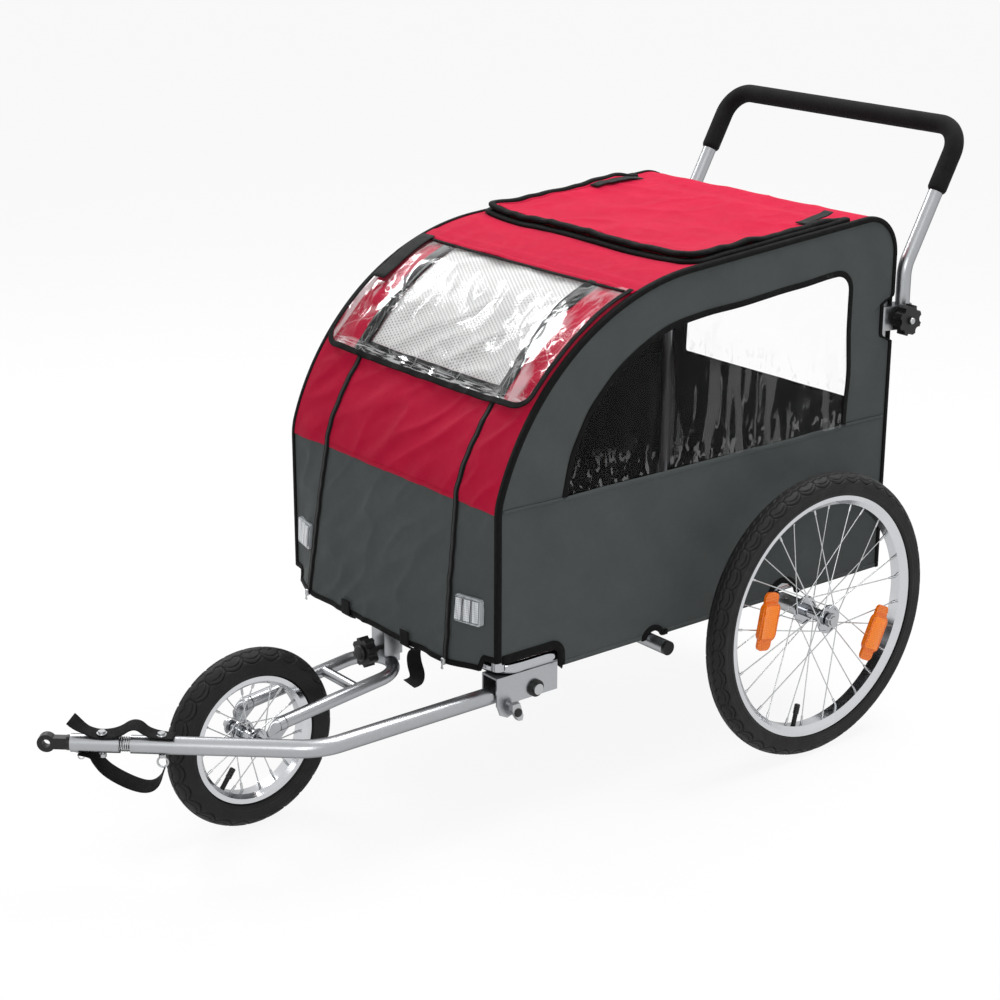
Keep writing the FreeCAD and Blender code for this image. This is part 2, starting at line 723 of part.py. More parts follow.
class Profile:
    """The cover's side profile and the points that its seams are set out from."""

    def __init__(self):
        self.front = float(S.cabin_front)
        self.rear = -float(S.cabin_rear)
        self.bottom = float(S.cabin_bottom)
        self.turn = math.radians(float(S.shoulder_turn))
        self.crown = math.radians(90 - float(S.roof_slope))
        self.shoulder_r = float(S.shoulder_radius)
        self.arch_r = float(S.arch_radius)
        self.rear_r = float(S.rear_top_radius)
        self.shoulder = Vector(self.front - self.shoulder_r, 0, float(S.shoulder_height))
        back = self.shoulder_r - self.arch_r
        self.arch = self.shoulder + Vector(back * math.cos(self.turn), 0,
                                           back * math.sin(self.turn))
        rear_x = self.rear + self.rear_r
        rise = (self.arch_r - self.rear_r
                - math.cos(self.crown) * (rear_x - self.arch.x)) / math.sin(self.crown)
        self.rear_top = Vector(rear_x, 0, self.arch.z + rise)

    @staticmethod
    def on(centre, radius, angle):
        return centre + Vector(radius * math.cos(angle), 0, radius * math.sin(angle))

    def arc(self, centre, radius, start, end):
        return Part.Arc(self.on(centre, radius, start), self.on(centre, radius, (start + end) / 2),
                        self.on(centre, radius, end)).toShape()

    def angle_at_x(self, x, inset=0):
        return math.acos((x - self.arch.x) / (self.arch_r - inset))

    def angle_at_z(self, z, inset=0):
        return math.asin((z - self.arch.z) / (self.arch_r - inset))

    def whole(self, inset, bottom):
        """Front foot up the arch, over the roof and down to the rear foot."""
        front = self.front - inset
        arcs = [self.arc(self.shoulder, self.shoulder_r - inset, 0, self.turn),
                self.arc(self.arch, self.arch_r - inset, self.turn, self.crown),
                self.arc(self.rear_top, self.rear_r - inset, self.crown, math.pi)]
        foot = Vector(front, 0, bottom)
        heel = Vector(self.rear + inset, 0, bottom)
        return [line(foot, Vector(front, 0, self.shoulder.z)), arcs[0], arcs[1],
                line(arcs[1].valueAt(arcs[1].LastParameter),
                     arcs[2].valueAt(arcs[2].FirstParameter)), arcs[2],
                line(Vector(self.rear + inset, 0, self.rear_top.z), heel)]

    def front_band(self, outer, inner, bulge, end):
        """Thin strip section from the hem up the front to an angle on the arch."""
        def run(inset):
            hem = Vector(self.front + bulge - inset, 0, self.bottom)
            knee = Vector(self.front - inset, 0, self.shoulder.z)
            return [line(hem, knee), self.arc(self.shoulder, self.shoulder_r - inset, 0, self.turn),
                    self.arc(self.arch, self.arch_r - inset, self.turn, end)]
        return closed_strip(run(outer), run(inner))

    def arch_band(self, outer, inner, start, end):
        """Thin strip section on the long arch between two angles."""
        return closed_strip([self.arc(self.arch, self.arch_r - outer, start, end)],
                            [self.arc(self.arch, self.arch_r - inner, start, end)])


def first_point(edges):
    return edges[0].valueAt(edges[0].FirstParameter)


def last_point(edges):
    return edges[-1].valueAt(edges[-1].LastParameter)


def closed_strip(outer, inner):
    """Closes two parallel runs of edges into one wire."""
    edges = outer + [line(last_point(outer), last_point(inner))]
    edges += inner[::-1] + [line(first_point(inner), first_point(outer))]
    return Part.Wire(Part.__sortEdges__(edges))


def across(wire, y0, y1):
    """Extrudes a section drawn at y = 0 from one side position to another."""
    face = Part.Face(wire)
    face.translate(Vector(0, y0, 0))
    return face.extrude(Vector(0, y1 - y0, 0))


def moved(edges, y):
    return [edge.translated(Vector(0, y, 0)) for edge in edges]


P = Profile()
SHEET, FILM = float(S.sheet_thick), float(S.film_thick)
PANEL_Y = float(S.cabin_half) - SHEET
BAND_Y = PANEL_Y - GAP
HOOP_INSET = SHEET + GAP + float(S.hoop_dia) / 2
HOOP_FOOT = float(RAIL_Z) + float(S.rail_dia) / 2 + 6
TOP_ANGLE = P.angle_at_x(float(S.top_seam))
TOP_Z = P.on(P.arch, P.arch_r, TOP_ANGLE).z
MESH_SILL, FLAP_HEM = TOP_Z - float(S.mesh_drop), TOP_Z - float(S.flap_drop)

# Two side hoops stand on spigots welded to the base frame's corners

hoop_solids, hoop_tubes = [], []
for side in (1, -1):
    path = moved(P.whole(HOOP_INSET, HOOP_FOOT), side * float(RAIL_Y))
    hoop_solids.append(round_bar(path, float(S.hoop_dia)))
    hoop_tubes.append(round_tube(path, float(S.hoop_dia), float(S.tube_wall)))
solid_piece("side_hoops", Part.makeCompound(hoop_tubes))

feet = []
for x in (P.front - HOOP_INSET, P.rear + HOOP_INSET):
    for side in (1, -1):
        base = Vector(x, side * float(RAIL_Y), float(RAIL_Z) + 2)
        collar = Part.makeCylinder(float(S.hoop_dia) / 2, HOOP_FOOT - base.z, base)
        spigot = Part.makeCylinder(
            float(S.hoop_dia) / 2 - float(S.tube_wall) - float(S.run_gap),
            HOOP_FOOT - base.z + 40, base)
        foot = collar.fuse(spigot).cut(rail_solid)
        feet.append(max(foot.Solids, key=lambda s: s.Volume))
frame = bent_rail.multiFuse([rear_rail] + feet).removeSplitter()
solid_piece("base_frame", frame.Solids[0])
print("base_frame: %d solid" % len(frame.Solids))

bars = []
bar_x = float(S.top_seam) - float(S.bar_setback)
bar_spots = [P.on(P.arch, P.arch_r - HOOP_INSET, P.angle_at_x(bar_x, HOOP_INSET)),
             P.on(P.rear_top, P.rear_r - HOOP_INSET, math.radians(130))]
for spot in bar_spots:
    bar = straight_tube(spot + Vector(0, float(RAIL_Y), 0), spot - Vector(0, float(RAIL_Y), 0),
                        float(S.hoop_dia) - 3, S.tube_wall)
    bar = bar.cut(hoop_solids[0]).cut(hoop_solids[1])
    bars.append(max(bar.Solids, key=lambda s: s.Volume))
solid_piece("roof_bars", Part.makeCompound(bars))

# Cover panels

CLAMP_LOW = float(S.clamp_mid) - float(S.clamp_height) / 2
CLAMP_HIGH = float(S.clamp_mid) + float(S.clamp_height) / 2
CORNER_CUT = float(RAIL_Z) + float(S.rail_dia) / 2 + 4


def window_edges(grow=0.0):
    """Arched side window, its sill on the waist seam."""
    centre = Vector(P.arch.x + float(S.window_shift), 0,
                    float(S.seam_height) - float(S.window_arc_drop))
    radius = P.arch.z + P.arch_r - centre.z - float(S.window_margin) + grow
    sill = float(S.seam_height) + 2 - grow
    low = math.asin((sill - centre.z) / radius)
    corner = float(S.window_corner)
    rear = -float(S.window_rear) - grow
    normal = Vector(math.cos(P.crown), 0, math.sin(P.crown))
    mid_x = rear + corner + grow
    mid_z = centre.z + (radius - corner - grow - normal.x * (mid_x - centre.x)) / normal.z
    middle = Vector(mid_x, 0, mid_z)
    top = P.arc(centre, radius, low, P.crown)
    bend = P.arc(middle, corner + grow, P.crown, math.pi)
    foot = Vector(rear, 0, sill)
    return Part.Wire([top, line(last_point([top]), first_point([bend])), bend,
                      line(last_point([bend]), foot), line(foot, first_point([top]))])


def side_panel(side_name, side):
    edges = P.whole(0, P.bottom)
    edges.append(line(last_point(edges), first_point(edges)))
    y0, y1 = sorted((side * PANEL_Y, side * float(S.cabin_half)))
    panel = across(Part.Wire(edges), y0, y1)
    panel = panel.cut(across(window_edges(), y0 - 1, y1 + 1))
    reach = Vector(0, y0 - 1, 0)
    deep = SHEET + 2
    corner = Part.makeBox(200, deep, 100, reach + Vector(float(S.bracket_rear) + 3, 0,
                                                         CORNER_CUT - 100))
    corner = corner.makeFillet(20, [e for e in corner.Edges if abs(
        e.tangentAt(e.FirstParameter).y) > 0.9 and e.CenterOfMass.x < float(S.bracket_rear) + 10
        and e.CenterOfMass.z > CORNER_CUT - 10])
    stub = Part.makeCylinder(float(S.cross_dia) / 2 + 9, deep, reach + Vector(
        float(S.cross_x), 0, float(AXLE_Z)), Vector(0, 1, 0))
    axle = Part.makeCylinder(float(S.receiver_dia) / 2 + 20, deep, reach + Vector(
        0, 0, float(AXLE_Z)), Vector(0, 1, 0))
    clamp = Part.makeBox(60, deep, CLAMP_HIGH - CLAMP_LOW + 24,
                         reach + Vector(P.rear - 20, 0, CLAMP_LOW - 12))
    for tool in (corner, stub, axle, clamp):
        panel = panel.cut(tool)
    return solid_piece(side_name + "_side_panel", panel)


side_films = []
for side_name, side in (("left", 1), ("right", -1)):
    side_panel(side_name, side)
    y0, y1 = sorted((side * (PANEL_Y - FILM), side * PANEL_Y))
    side_films.append(across(window_edges(float(S.window_lap)), y0, y1))

rear_top = P.rear_top.z - GAP
rear_panel = Part.makeBox(SHEET, 2 * BAND_Y, rear_top - P.bottom,
                          Vector(P.rear, -BAND_Y, P.bottom))
window_low = float(S.seam_height) + 5
window_high = window_low + float(S.rear_window_high)
half = float(S.rear_window_half)
lap = float(S.window_lap)
hole = Part.makeBox(SHEET + 2, 2 * half, window_high - window_low,
                    Vector(P.rear - 1, -half, window_low))
hole = hole.makeFillet(30, [e for e in hole.Edges
                            if abs(e.tangentAt(e.FirstParameter).x) > 0.9])
rear_panel = rear_panel.cut(hole)
for side in (1, -1):
    rear_panel = rear_panel.cut(Part.makeBox(
        SHEET + 2, 60, CLAMP_HIGH - CLAMP_LOW + 24,
        Vector(P.rear - 1, side * (BAND_Y - 10) - 30, CLAMP_LOW - 12)))
solid_piece("rear_panel", rear_panel)
film = Part.makeBox(FILM, 2 * (half + lap), window_high - window_low + 2 * lap,
                    Vector(P.rear + SHEET, -half - lap, window_low - lap))
film = film.makeFillet(34, [e for e in film.Edges
                            if abs(e.tangentAt(e.FirstParameter).x) > 0.9])
clearance = [Part.makeBox(FILM + 2, 60, CLAMP_HIGH - CLAMP_LOW + 24,
                          Vector(P.rear + SHEET - 1, side * (BAND_Y - 10) - 30, CLAMP_LOW - 12))
             for side in (1, -1)]
film = film.cut(clearance[0]).cut(clearance[1])
solid_piece("windows", Part.makeCompound(side_films + [film]))


def roof_run(inset):
    """Roof edges from the top seam back over the rear corner."""
    start = TOP_ANGLE + GAP / P.arch_r
    first = P.arc(P.arch, P.arch_r - inset, start, P.crown)
    last = P.arc(P.rear_top, P.rear_r - inset, P.crown, math.pi)
    return [first, line(last_point([first]), first_point([last])), last]


roof = across(closed_strip(roof_run(0), roof_run(SHEET)), -BAND_Y, BAND_Y)
hatch_front, hatch_rear = float(S.hatch_front), -float(S.hatch_rear)
rim_wide, hatch_half = float(S.hatch_rim), float(S.hatch_half)
opening = Part.makeBox(hatch_front - hatch_rear - 2 * rim_wide, 2 * (hatch_half - rim_wide), 200,
                       Vector(hatch_rear + rim_wide, rim_wide - hatch_half, P.rear_top.z - 40))
opening = opening.makeFillet(float(S.opening_corner), [e for e in opening.Edges
                                  if abs(e.tangentAt(e.FirstParameter).z) > 0.9])
solid_piece("roof_panel", roof.cut(opening))

roof_normal = Vector(math.cos(P.crown), 0, math.sin(P.crown))


def on_roof(x, lift):
    """A point over the straight part of the roof."""
    z = P.arch.z + (P.arch_r - roof_normal.x * (x - P.arch.x)) / roof_normal.z
    return Vector(x, 0, z) + roof_normal * lift


flat = [on_roof(hatch_rear, GAP), on_roof(hatch_front, GAP),
        on_roof(hatch_front, GAP + SHEET), on_roof(hatch_rear, GAP + SHEET)]
hatch = across(Part.makePolygon(flat + flat[:1]), -hatch_half, hatch_half)
hatch = hatch.makeFillet(float(S.hatch_corner), [e for e in hatch.Edges if e.Length < SHEET * 1.2
                              and e.CenterOfMass.x > hatch_front - 2
                              and abs(e.CenterOfMass.y) > hatch_half - 1])
solid_piece("roof_hatch", hatch)

# Front: two side strips, the zipped door with its mesh, and the clear rain flap

STRIP_IN = float(S.door_half) + GAP
front_foot = Part.makeBox(200, 2 * float(S.cabin_half), 100, Vector(
    P.front - 80, -float(S.cabin_half), float(S.cabin_bottom) + float(S.front_rise) - 100))
strips = []
for side in (1, -1):
    inner = P.front_band(0, SHEET, float(S.hem_bulge), TOP_ANGLE)
    outer = P.front_band(0, SHEET, 0, TOP_ANGLE)
    inner.translate(Vector(0, side * STRIP_IN, 0))
    outer.translate(Vector(0, side * BAND_Y, 0))
    strip = Part.makeLoft([inner, outer], True, True)
    corner = Part.makeBox(200, 120, 100, Vector(
        P.front - 80, side * (BAND_Y + 60 - float(S.notch_wide)) - 60, CORNER_CUT - 100))
    strips.append(strip.cut(front_foot).cut(corner).Solids[0])
solid_piece("front_strips", Part.makeCompound(strips))

DOOR = float(S.door_half)
MESH_LOW = P.angle_at_z(MESH_SILL)
border = float(S.mesh_border)
door = across(P.front_band(0, SHEET, float(S.hem_bulge), TOP_ANGLE), -DOOR, DOOR).cut(front_foot)
mesh_top = TOP_ANGLE - border / P.arch_r
mesh_hole = across(P.arch_band(-3, SHEET + 3, MESH_LOW, mesh_top), border - DOOR, DOOR - border)
solid_piece("door_panel", door.cut(mesh_hole))
solid_piece("door_mesh", across(P.arch_band(SHEET, SHEET + FILM, MESH_LOW - lap / P.arch_r,
                                            mesh_top + lap / P.arch_r),
                                border - DOOR - lap, DOOR - border + lap))

FLAP = float(S.flap_half)
flap_top = TOP_ANGLE - float(S.flap_setback) / P.arch_r
flap = across(P.arch_band(-GAP, -GAP - FILM, P.angle_at_z(FLAP_HEM), flap_top),
              -FLAP, FLAP)
frame = Part.makeBox(P.front, 2 * FLAP, P.arch_r, Vector(0, -FLAP, FLAP_HEM))
frame = frame.makeFillet(float(S.flap_corner), [e for e in frame.Edges
                              if abs(e.tangentAt(e.FirstParameter).x) > 0.9
                              and e.CenterOfMass.z < FLAP_HEM + 5])
flap = flap.common(frame)
solid_piece("rain_flap", flap)

reflectors = []
for side in (1, -1):
    inner = P.front_band(-7, -GAP, float(S.hem_bulge), TOP_ANGLE)
    outer = P.front_band(-7, -GAP, 0, TOP_ANGLE)
    inner.translate(Vector(0, side * STRIP_IN, 0))
    outer.translate(Vector(0, side * BAND_Y, 0))
    skin = Part.makeLoft([inner, outer], True, True)
    middle = side * (float(S.door_half) + BAND_Y) / 2
    plate = Part.makeBox(200, float(S.reflector_wide), float(S.reflector_high), Vector(
        P.front - 60, middle - float(S.reflector_wide) / 2,
        float(S.reflector_height) - float(S.reflector_high) / 2))
    plate = plate.makeFillet(5, [e for e in plate.Edges
                                 if abs(e.tangentAt(e.FirstParameter).x) > 0.9])
    reflectors.append(max(plate.common(skin).Solids, key=lambda s: s.Volume))
solid_piece("front_reflectors", Part.makeCompound(reflectors))


# Push handle, its clamps on the rear posts and their star knobs

LEG_X = -float(S.handle_leg)
POST_X = P.rear + HOOP_INSET


def handle_corners():
    y = float(S.handle_half)
    top = Vector(LEG_X - float(S.handle_reach), y, float(S.handle_top))
    left = [Vector(LEG_X, y, float(S.handle_foot)), Vector(LEG_X, y, float(S.handle_bend)), top]
    return left + [Vector(p.x, -p.y, p.z) for p in left[::-1]]


corners = handle_corners()
bends = [60.0, float(S.handle_corner), float(S.handle_corner), 60.0]
solid_piece("handle_tube", round_tube(bent_path(corners, bends), float(S.handle_dia),
                                      float(S.tube_wall)))
fall = (corners[1] - corners[2]).normalize() * float(S.grip_leg)
grip_path = [corners[2] + fall, corners[2], corners[3],
             corners[3] + Vector(fall.x, fall.y, fall.z)]
grip_wall = (float(S.grip_dia) - float(S.handle_dia)) / 2 - float(S.run_gap)
solid_piece("handle_grip", round_tube(bent_path(grip_path, bends[1:3]), float(S.grip_dia),
                                      grip_wall))


def star_knob(label, dia, thick, stem, at, rotation, lobes=8):
    """Star knob on a threaded stem; its axis is the body's own Z, stem at the back."""
    body = new_body(label)
    disc = sketch_on(body, label + "_disc", "XY_Plane")
    ring(disc, dia / 2)
    pad(body, label + "_head", disc, thick)
    notch = sketch_on(body, label + "_notch", "XY_Plane")
    ring(notch, dia * 0.13, dia / 2 + dia * 0.035, 0)
    scoop = pocket(body, label + "_scoop", notch, thick, reverse=True)
    doc.recompute()
    pattern = body.newObject("PartDesign::PolarPattern", label + "_lobes")
    pattern.Originals = [scoop]
    pattern.Axis = (disc, ["N_Axis"])
    pattern.Angle = 360
    pattern.Occurrences = lobes
    body.Tip = pattern
    rod = sketch_on(body, label + "_rod", "XY_Plane")
    ring(rod, S.stem_dia / 2)
    pad(body, label + "_stem", rod, stem, reverse=True)
    boss = sketch_on(body, label + "_boss", "XY_Plane", thick)
    ring(boss, S.stem_dia * 0.85)
    pad(body, label + "_bolt_head", boss, 3)
    put(body, at[0], at[1], at[2], rotation)
    return body


clamps = []
for side_name, side in (("left", 1), ("right", -1)):
    post = Vector(POST_X, side * float(RAIL_Y), CLAMP_LOW)
    leg = Vector(LEG_X, side * float(S.handle_half), CLAMP_LOW)
    tall = float(S.clamp_height)
    shell = float(S.handle_dia) / 2 + float(S.clamp_wall)
    run = leg - post
    neck = Part.makeBox(run.Length, 2 * shell, tall, Vector(0, -shell, 0))
    neck.rotate(Vector(), Vector(0, 0, 1), math.degrees(math.atan2(run.y, run.x)))
    neck.translate(post)
    clamp = neck.fuse([Part.makeCylinder(shell, tall, post), Part.makeCylinder(shell, tall, leg)])
    clamp = clamp.cut(Part.makeCylinder(float(S.hoop_dia) / 2 + float(S.run_gap), tall, post))
    clamp = clamp.cut(Part.makeCylinder(float(S.handle_dia) / 2 + GAP, tall, leg))
    knob_x = (POST_X + LEG_X) / 2 - 2
    face_y = float(RAIL_Y) / 2 + float(S.handle_half) / 2 + shell
    clamp = clamp.cut(Part.makeCylinder(
        float(S.stem_dia) / 2 + GAP, 60, Vector(knob_x, side * (face_y - 14), float(S.clamp_mid)),
        Vector(0, side, 0)))
    clamps.append(clamp.removeSplitter().Solids[0])
    stem_tip = face_y - 12
    knob_y = S.handle_half + S.handle_dia / 2 + S.clamp_wall + 2
    star_knob(side_name + "_handle_knob", S.knob_dia, S.knob_thick, knob_y - stem_tip,
              (S.axle_x + knob_x, knob_y * side, S.clamp_mid),
              Z_TO_Y if side > 0 else Z_TO_MINUS_Y)
solid_piece("handle_clamps", Part.makeCompound(clamps))


# Jogger fork: a bent U of tube, cross brace, square post in a sleeve, axle and nuts

SLEEVE_SIDE = S.post_side + 2 * S.seat_gap + 2 * S.sleeve_wall
SLEEVE_X = S.rail_front + S.rail_dia / 2 + SLEEVE_SIDE / 2
FORK_TIP = S.wheel_base - 22
fork_slope = math.atan2(float(S.fork_rise), float(FORK_TIP) - float(SLEEVE_X))
fork_apex = Vector(float(SLEEVE_X), 0, float(S.sleeve_low) - float(S.fork_dia) / 2 - 3)


def fork_point(x, y):
    """A point of the fork's sloping plane."""
    return Vector(x, y, fork_apex.z - (x - fork_apex.x) * math.tan(fork_slope))


def fork_edges():
    y, bend = float(S.fork_half), float(S.fork_half) * math.cos(fork_slope)
    root = fork_apex.x + bend
    tip = float(FORK_TIP)
    return [line(fork_point(tip, y), fork_point(root, y)),
            Part.Arc(fork_point(root, y), fork_apex, fork_point(root, -y)).toShape(),
            line(fork_point(root, -y), fork_point(tip, -y))]


fork_solid = round_bar(fork_edges(), float(S.fork_dia))
fork_arms = round_tube(fork_edges(), float(S.fork_dia), float(S.tube_wall))
brace_at = fork_point(float(S.wheel_base) - float(S.brace_setback), 0)
brace = straight_tube(brace_at + Vector(0, float(S.fork_half), 0),
                      brace_at - Vector(0, float(S.fork_half), 0), S.brace_dia, S.tube_wall)
brace = brace.cut(fork_solid)
brace = max(brace.Solids, key=lambda s: s.Volume)

dropouts = []
for side in (1, -1):
    tip = fork_point(float(FORK_TIP), side * float(S.fork_half))
    axle = Vector(float(S.wheel_base), tip.y, float(FRONT_Z))
    root = tip + Vector(-16, 0, 16 * math.tan(fork_slope))
    plate = Part.makeCylinder(15, 5, axle - Vector(0, 2.5, 0), Vector(0, 1, 0))
    run = root - axle
    arm = Part.makeBox(run.Length, 5, 20, Vector(0, -2.5, -10))
    arm.rotate(Vector(), Vector(0, 1, 0), -math.degrees(math.atan2(run.z, run.x)))
    arm.translate(axle)
    plate = plate.fuse(arm).cut(Part.makeCylinder(
        float(S.front_axle_dia) / 2 + float(S.run_gap), 9, axle - Vector(0, 4.5, 0),
        Vector(0, 1, 0)))
    dropouts.append(plate)
side_len, hollow = float(S.post_side), float(S.post_side) - 5
post_low = fork_apex.z
post_tall = float(S.sleeve_high) - 6 - post_low
post = Part.makeBox(side_len, side_len, post_tall,
                    fork_apex - Vector(side_len / 2, side_len / 2, 0))
post = post.cut(Part.makeBox(hollow, hollow, post_tall,
                             fork_apex - Vector(hollow / 2, hollow / 2, 0)))
post = post.cut(fork_solid)
post = max(post.Solids, key=lambda s: s.Volume)
fork = fork_arms.multiFuse([brace, post] + dropouts).removeSplitter()
solid_piece("fork_frame", fork.Solids[0])
print("fork_frame: %d solid" % len(fork.Solids))

axle_base = Vector(float(S.wheel_base), 0, float(FRONT_Z))
axle_half = float(S.fork_half) + 13
axle_set = [Part.makeCylinder(float(S.front_axle_dia) / 2, 2 * axle_half,
                              axle_base - Vector(0, axle_half, 0), Vector(0, 1, 0))]
for side in (1, -1):
    base = axle_base + Vector(0, side * (float(S.fork_half) + 2.5), 0)
    reach = float(S.front_axle_dia) * 0.95
    hexagon = [base + Vector(reach * math.cos(math.radians(60 * k)), 0,
                             reach * math.sin(math.radians(60 * k))) for k in range(7)]
    nut = Part.Face(Part.makePolygon(hexagon)).extrude(Vector(0, side * 8, 0))
    nut = nut.fuse(Part.makeCylinder(reach * 0.8, 15, base, Vector(0, side, 0)))
    axle_set.append(nut.cut(Part.makeCylinder(
        float(S.front_axle_dia) / 2 + float(S.run_gap), 11, base, Vector(0, side, 0))).Solids[0])
solid_piece("front_axle", Part.makeCompound(axle_set))

sleeve = new_body("fork_sleeve")
sleeve_sketch = sketch_on(sleeve, "sleeve_square", "XY_Plane")
wide, clear = SLEEVE_SIDE / 2, S.post_side / 2 + S.seat_gap
outline(sleeve_sketch, [(-wide, -wide), (wide, -wide), (wide, wide), (-wide, wide)])
outline(sleeve_sketch, [(-clear, -clear), (clear, -clear), (clear, clear), (-clear, clear)])
pad(sleeve, "sleeve_walls", sleeve_sketch, S.sleeve_high - S.sleeve_low)
knob_hole = sketch_on(sleeve, "sleeve_knob_hole", "YZ_Plane")
ring(knob_hole, S.stem_dia / 2 + S.seat_gap, 0, S.fork_knob_z - S.sleeve_low)
pocket(sleeve, "sleeve_hole", knob_hole, SLEEVE_SIDE, reverse=True)
put(sleeve, S.axle_x + SLEEVE_X, 0, S.sleeve_low)

star_knob("fork_knob", S.fork_knob_dia, S.knob_thick, S.sleeve_wall + 16,
          (S.axle_x + SLEEVE_X + SLEEVE_SIDE / 2 + 16, 0, S.fork_knob_z), Z_TO_X)


# Tow bar, its channel bracket, the spring coupling and the hitch eye

TOW_TURN = math.radians(float(S.tow_turn))
tow_along = Vector(math.cos(TOW_TURN), -math.sin(TOW_TURN), 0)
tow_side = Vector(math.sin(TOW_TURN), math.cos(TOW_TURN), 0)
tow_corner = Vector(float(S.tow_bend), float(S.tow_y), float(S.tow_z))


def on_tow(reach, rise=0.0, aside=0.0):
    """A point on the slanted front run of the tow bar."""
    return tow_corner + tow_along * reach + Vector(0, 0, rise) + tow_side * aside


SPRING_START = float(S.tow_end)
HITCH_START = SPRING_START + float(S.spring_gap)
HITCH_END = HITCH_START + float(S.hitch_length)
REAR_BOLT, FRONT_BOLT = SPRING_START - 46, HITCH_START + 27
BOLT_RADIUS = 3.0


def bolt_bore(reach, spare=0.0):
    """Upright bore for a strap bolt."""
    return Part.makeCylinder(BOLT_RADIUS + float(S.run_gap) + spare, 200, on_tow(reach, -100))


bracket = new_body("tow_bracket")
channel = sketch_on(bracket, "bracket_section", "YZ_Plane")
inside = S.tow_dia / 2 + 2
outside = inside + S.bracket_wall
deep = S.bracket_high - S.bracket_wall
outline(channel, [(-outside, S.bracket_wall), (outside, S.bracket_wall), (outside, -deep),
                  (inside, -deep), (inside, 0), (-inside, 0), (-inside, -deep),
                  (-outside, -deep)])
pad(bracket, "bracket_channel", channel, S.bracket_front - S.bracket_rear)
BRACKET_TOP = RAIL_Z - S.rail_dia / 2 - S.bracket_wall
ear = sketch_on(bracket, "bracket_ear", "XZ_Plane", -outside)
ear_x, ear_z = S.pin_x - S.bracket_rear, S.pin_z - BRACKET_TOP
outline(ear, [(ear_x - 20, -deep), (ear_x + 24, -deep), (ear_x + 18, ear_z - 15),
              (ear_x + 4, ear_z - 22), (ear_x - 8, ear_z - 18)])
pad(bracket, "bracket_ear_plate", ear, S.bracket_wall)
holes = sketch_on(bracket, "bracket_holes", "XZ_Plane")
ring(holes, 5 + S.run_gap, S.tow_pivot - S.bracket_rear, S.tow_z - BRACKET_TOP)
ring(holes, S.stem_dia / 2 + S.seat_gap, ear_x, ear_z)
pocket(bracket, "bracket_bores", holes, outside * 4, both=True)
crescent = sketch_on(bracket, "bracket_crescent", "XZ_Plane", -outside)
slot_x, slot_z = S.bracket_wall * 5, S.tow_z - BRACKET_TOP
outline(crescent, [(slot_x + 4, slot_z + 6), (slot_x + 2.5, slot_z + 1), (slot_x - 1, slot_z - 3),
                   (slot_x - 5, slot_z - 5), (slot_x - 4, slot_z - 1.5), (slot_x - 0.5, slot_z + 1.5),
                   (slot_x + 1, slot_z + 5.5)])
pocket(bracket, "bracket_slot", crescent, S.bracket_wall)
put(bracket, S.axle_x + S.bracket_rear, S.tow_y, BRACKET_TOP)

pivot_long = outside * 2 + 10
pivot_rod = cylinder("pivot_rod", 5, pivot_long,
                     (S.axle_x + S.tow_pivot, S.tow_y - outside - 5, S.tow_z), Z_TO_Y)
pivot_head = cylinder("pivot_head", 9, 5, (S.axle_x + S.tow_pivot, S.tow_y + outside + 5, S.tow_z),
                      Z_TO_Y)
pivot_nut = cylinder("pivot_nut", 8, 6, (S.axle_x + S.tow_pivot, S.tow_y - outside - 11, S.tow_z),
                     Z_TO_Y)
keep(fuse("pivot_whole", pivot_rod, pivot_head, pivot_nut), "tow_pivot_bolt")
bush_outer = cylinder("bush_outer", 14, 5, (S.axle_x + S.tow_pivot, S.tow_y + outside, S.tow_z),
                      Z_TO_Y)
bush_bore = cylinder("bush_bore", 5 + S.run_gap, 5,
                     (S.axle_x + S.tow_pivot, S.tow_y + outside, S.tow_z), Z_TO_Y)
keep(cut("bush_cut", bush_outer, bush_bore), "tow_bush")

pin = new_body("tow_lock_pin")
pin_shank = sketch_on(pin, "pin_shank", "XY_Plane")
ring(pin_shank, S.stem_dia / 2)
pad(pin, "pin_rod", pin_shank, S.bracket_wall + 11)
pin_wing = sketch_on(pin, "pin_wing", "XY_Plane", S.bracket_wall + 8)
outline(pin_wing, [(-8, -6), (7, -6), (7, 5), (-5, 24), (-13, 25), (-15, 17)])
pad(pin, "pin_handle", pin_wing, 9)
put(pin, S.axle_x + S.pin_x, S.tow_y + inside, S.pin_z, Rotation(Vector(1, 0, 0), -90))

tow_path = bent_path([Vector(float(S.tow_start), tow_corner.y, tow_corner.z), tow_corner,
                      on_tow(float(S.tow_end))], [float(S.tow_bend_radius)])
tow = round_tube(tow_path, float(S.tow_dia), float(S.tow_wall))
tow = tow.cut(Part.makeCylinder(5 + float(S.run_gap), 2 * float(S.tow_dia), Vector(
    float(S.tow_pivot), tow_corner.y - float(S.tow_dia), tow_corner.z), Vector(0, 1, 0)))
solid_piece("tow_tube", tow.cut(bolt_bore(REAR_BOLT)))

hitch = straight_tube(on_tow(HITCH_START), on_tow(HITCH_END), S.tow_dia, S.tow_wall)
solid_piece("hitch_tube", hitch.cut(bolt_bore(FRONT_BOLT)))


def biarc(a, a_dir, b, b_dir):
    """Two tangent arcs from one directed point to another."""
    gap, both = b - a, a_dir + b_dir
    square = both.dot(both) - 4
    lin = gap.dot(both)
    reach = (lin - math.sqrt(lin ** 2 - square * gap.dot(gap))) / square
    joint = ((a + a_dir * reach) + (b - b_dir * reach)) * 0.5

    def bow(start, direction, end):
        chord = end - start
        aside = direction - chord * (direction.dot(chord) / chord.dot(chord))
        bend = chord.getAngle(direction)
        return (start + end) * 0.5 + aside.normalize() * (chord.Length / 2 * math.tan(bend / 2))

    return [Part.Arc(a, bow(a, a_dir, joint), joint).toShape(),
            Part.Arc(joint, bow(b, b_dir * -1, joint), b).toShape()]


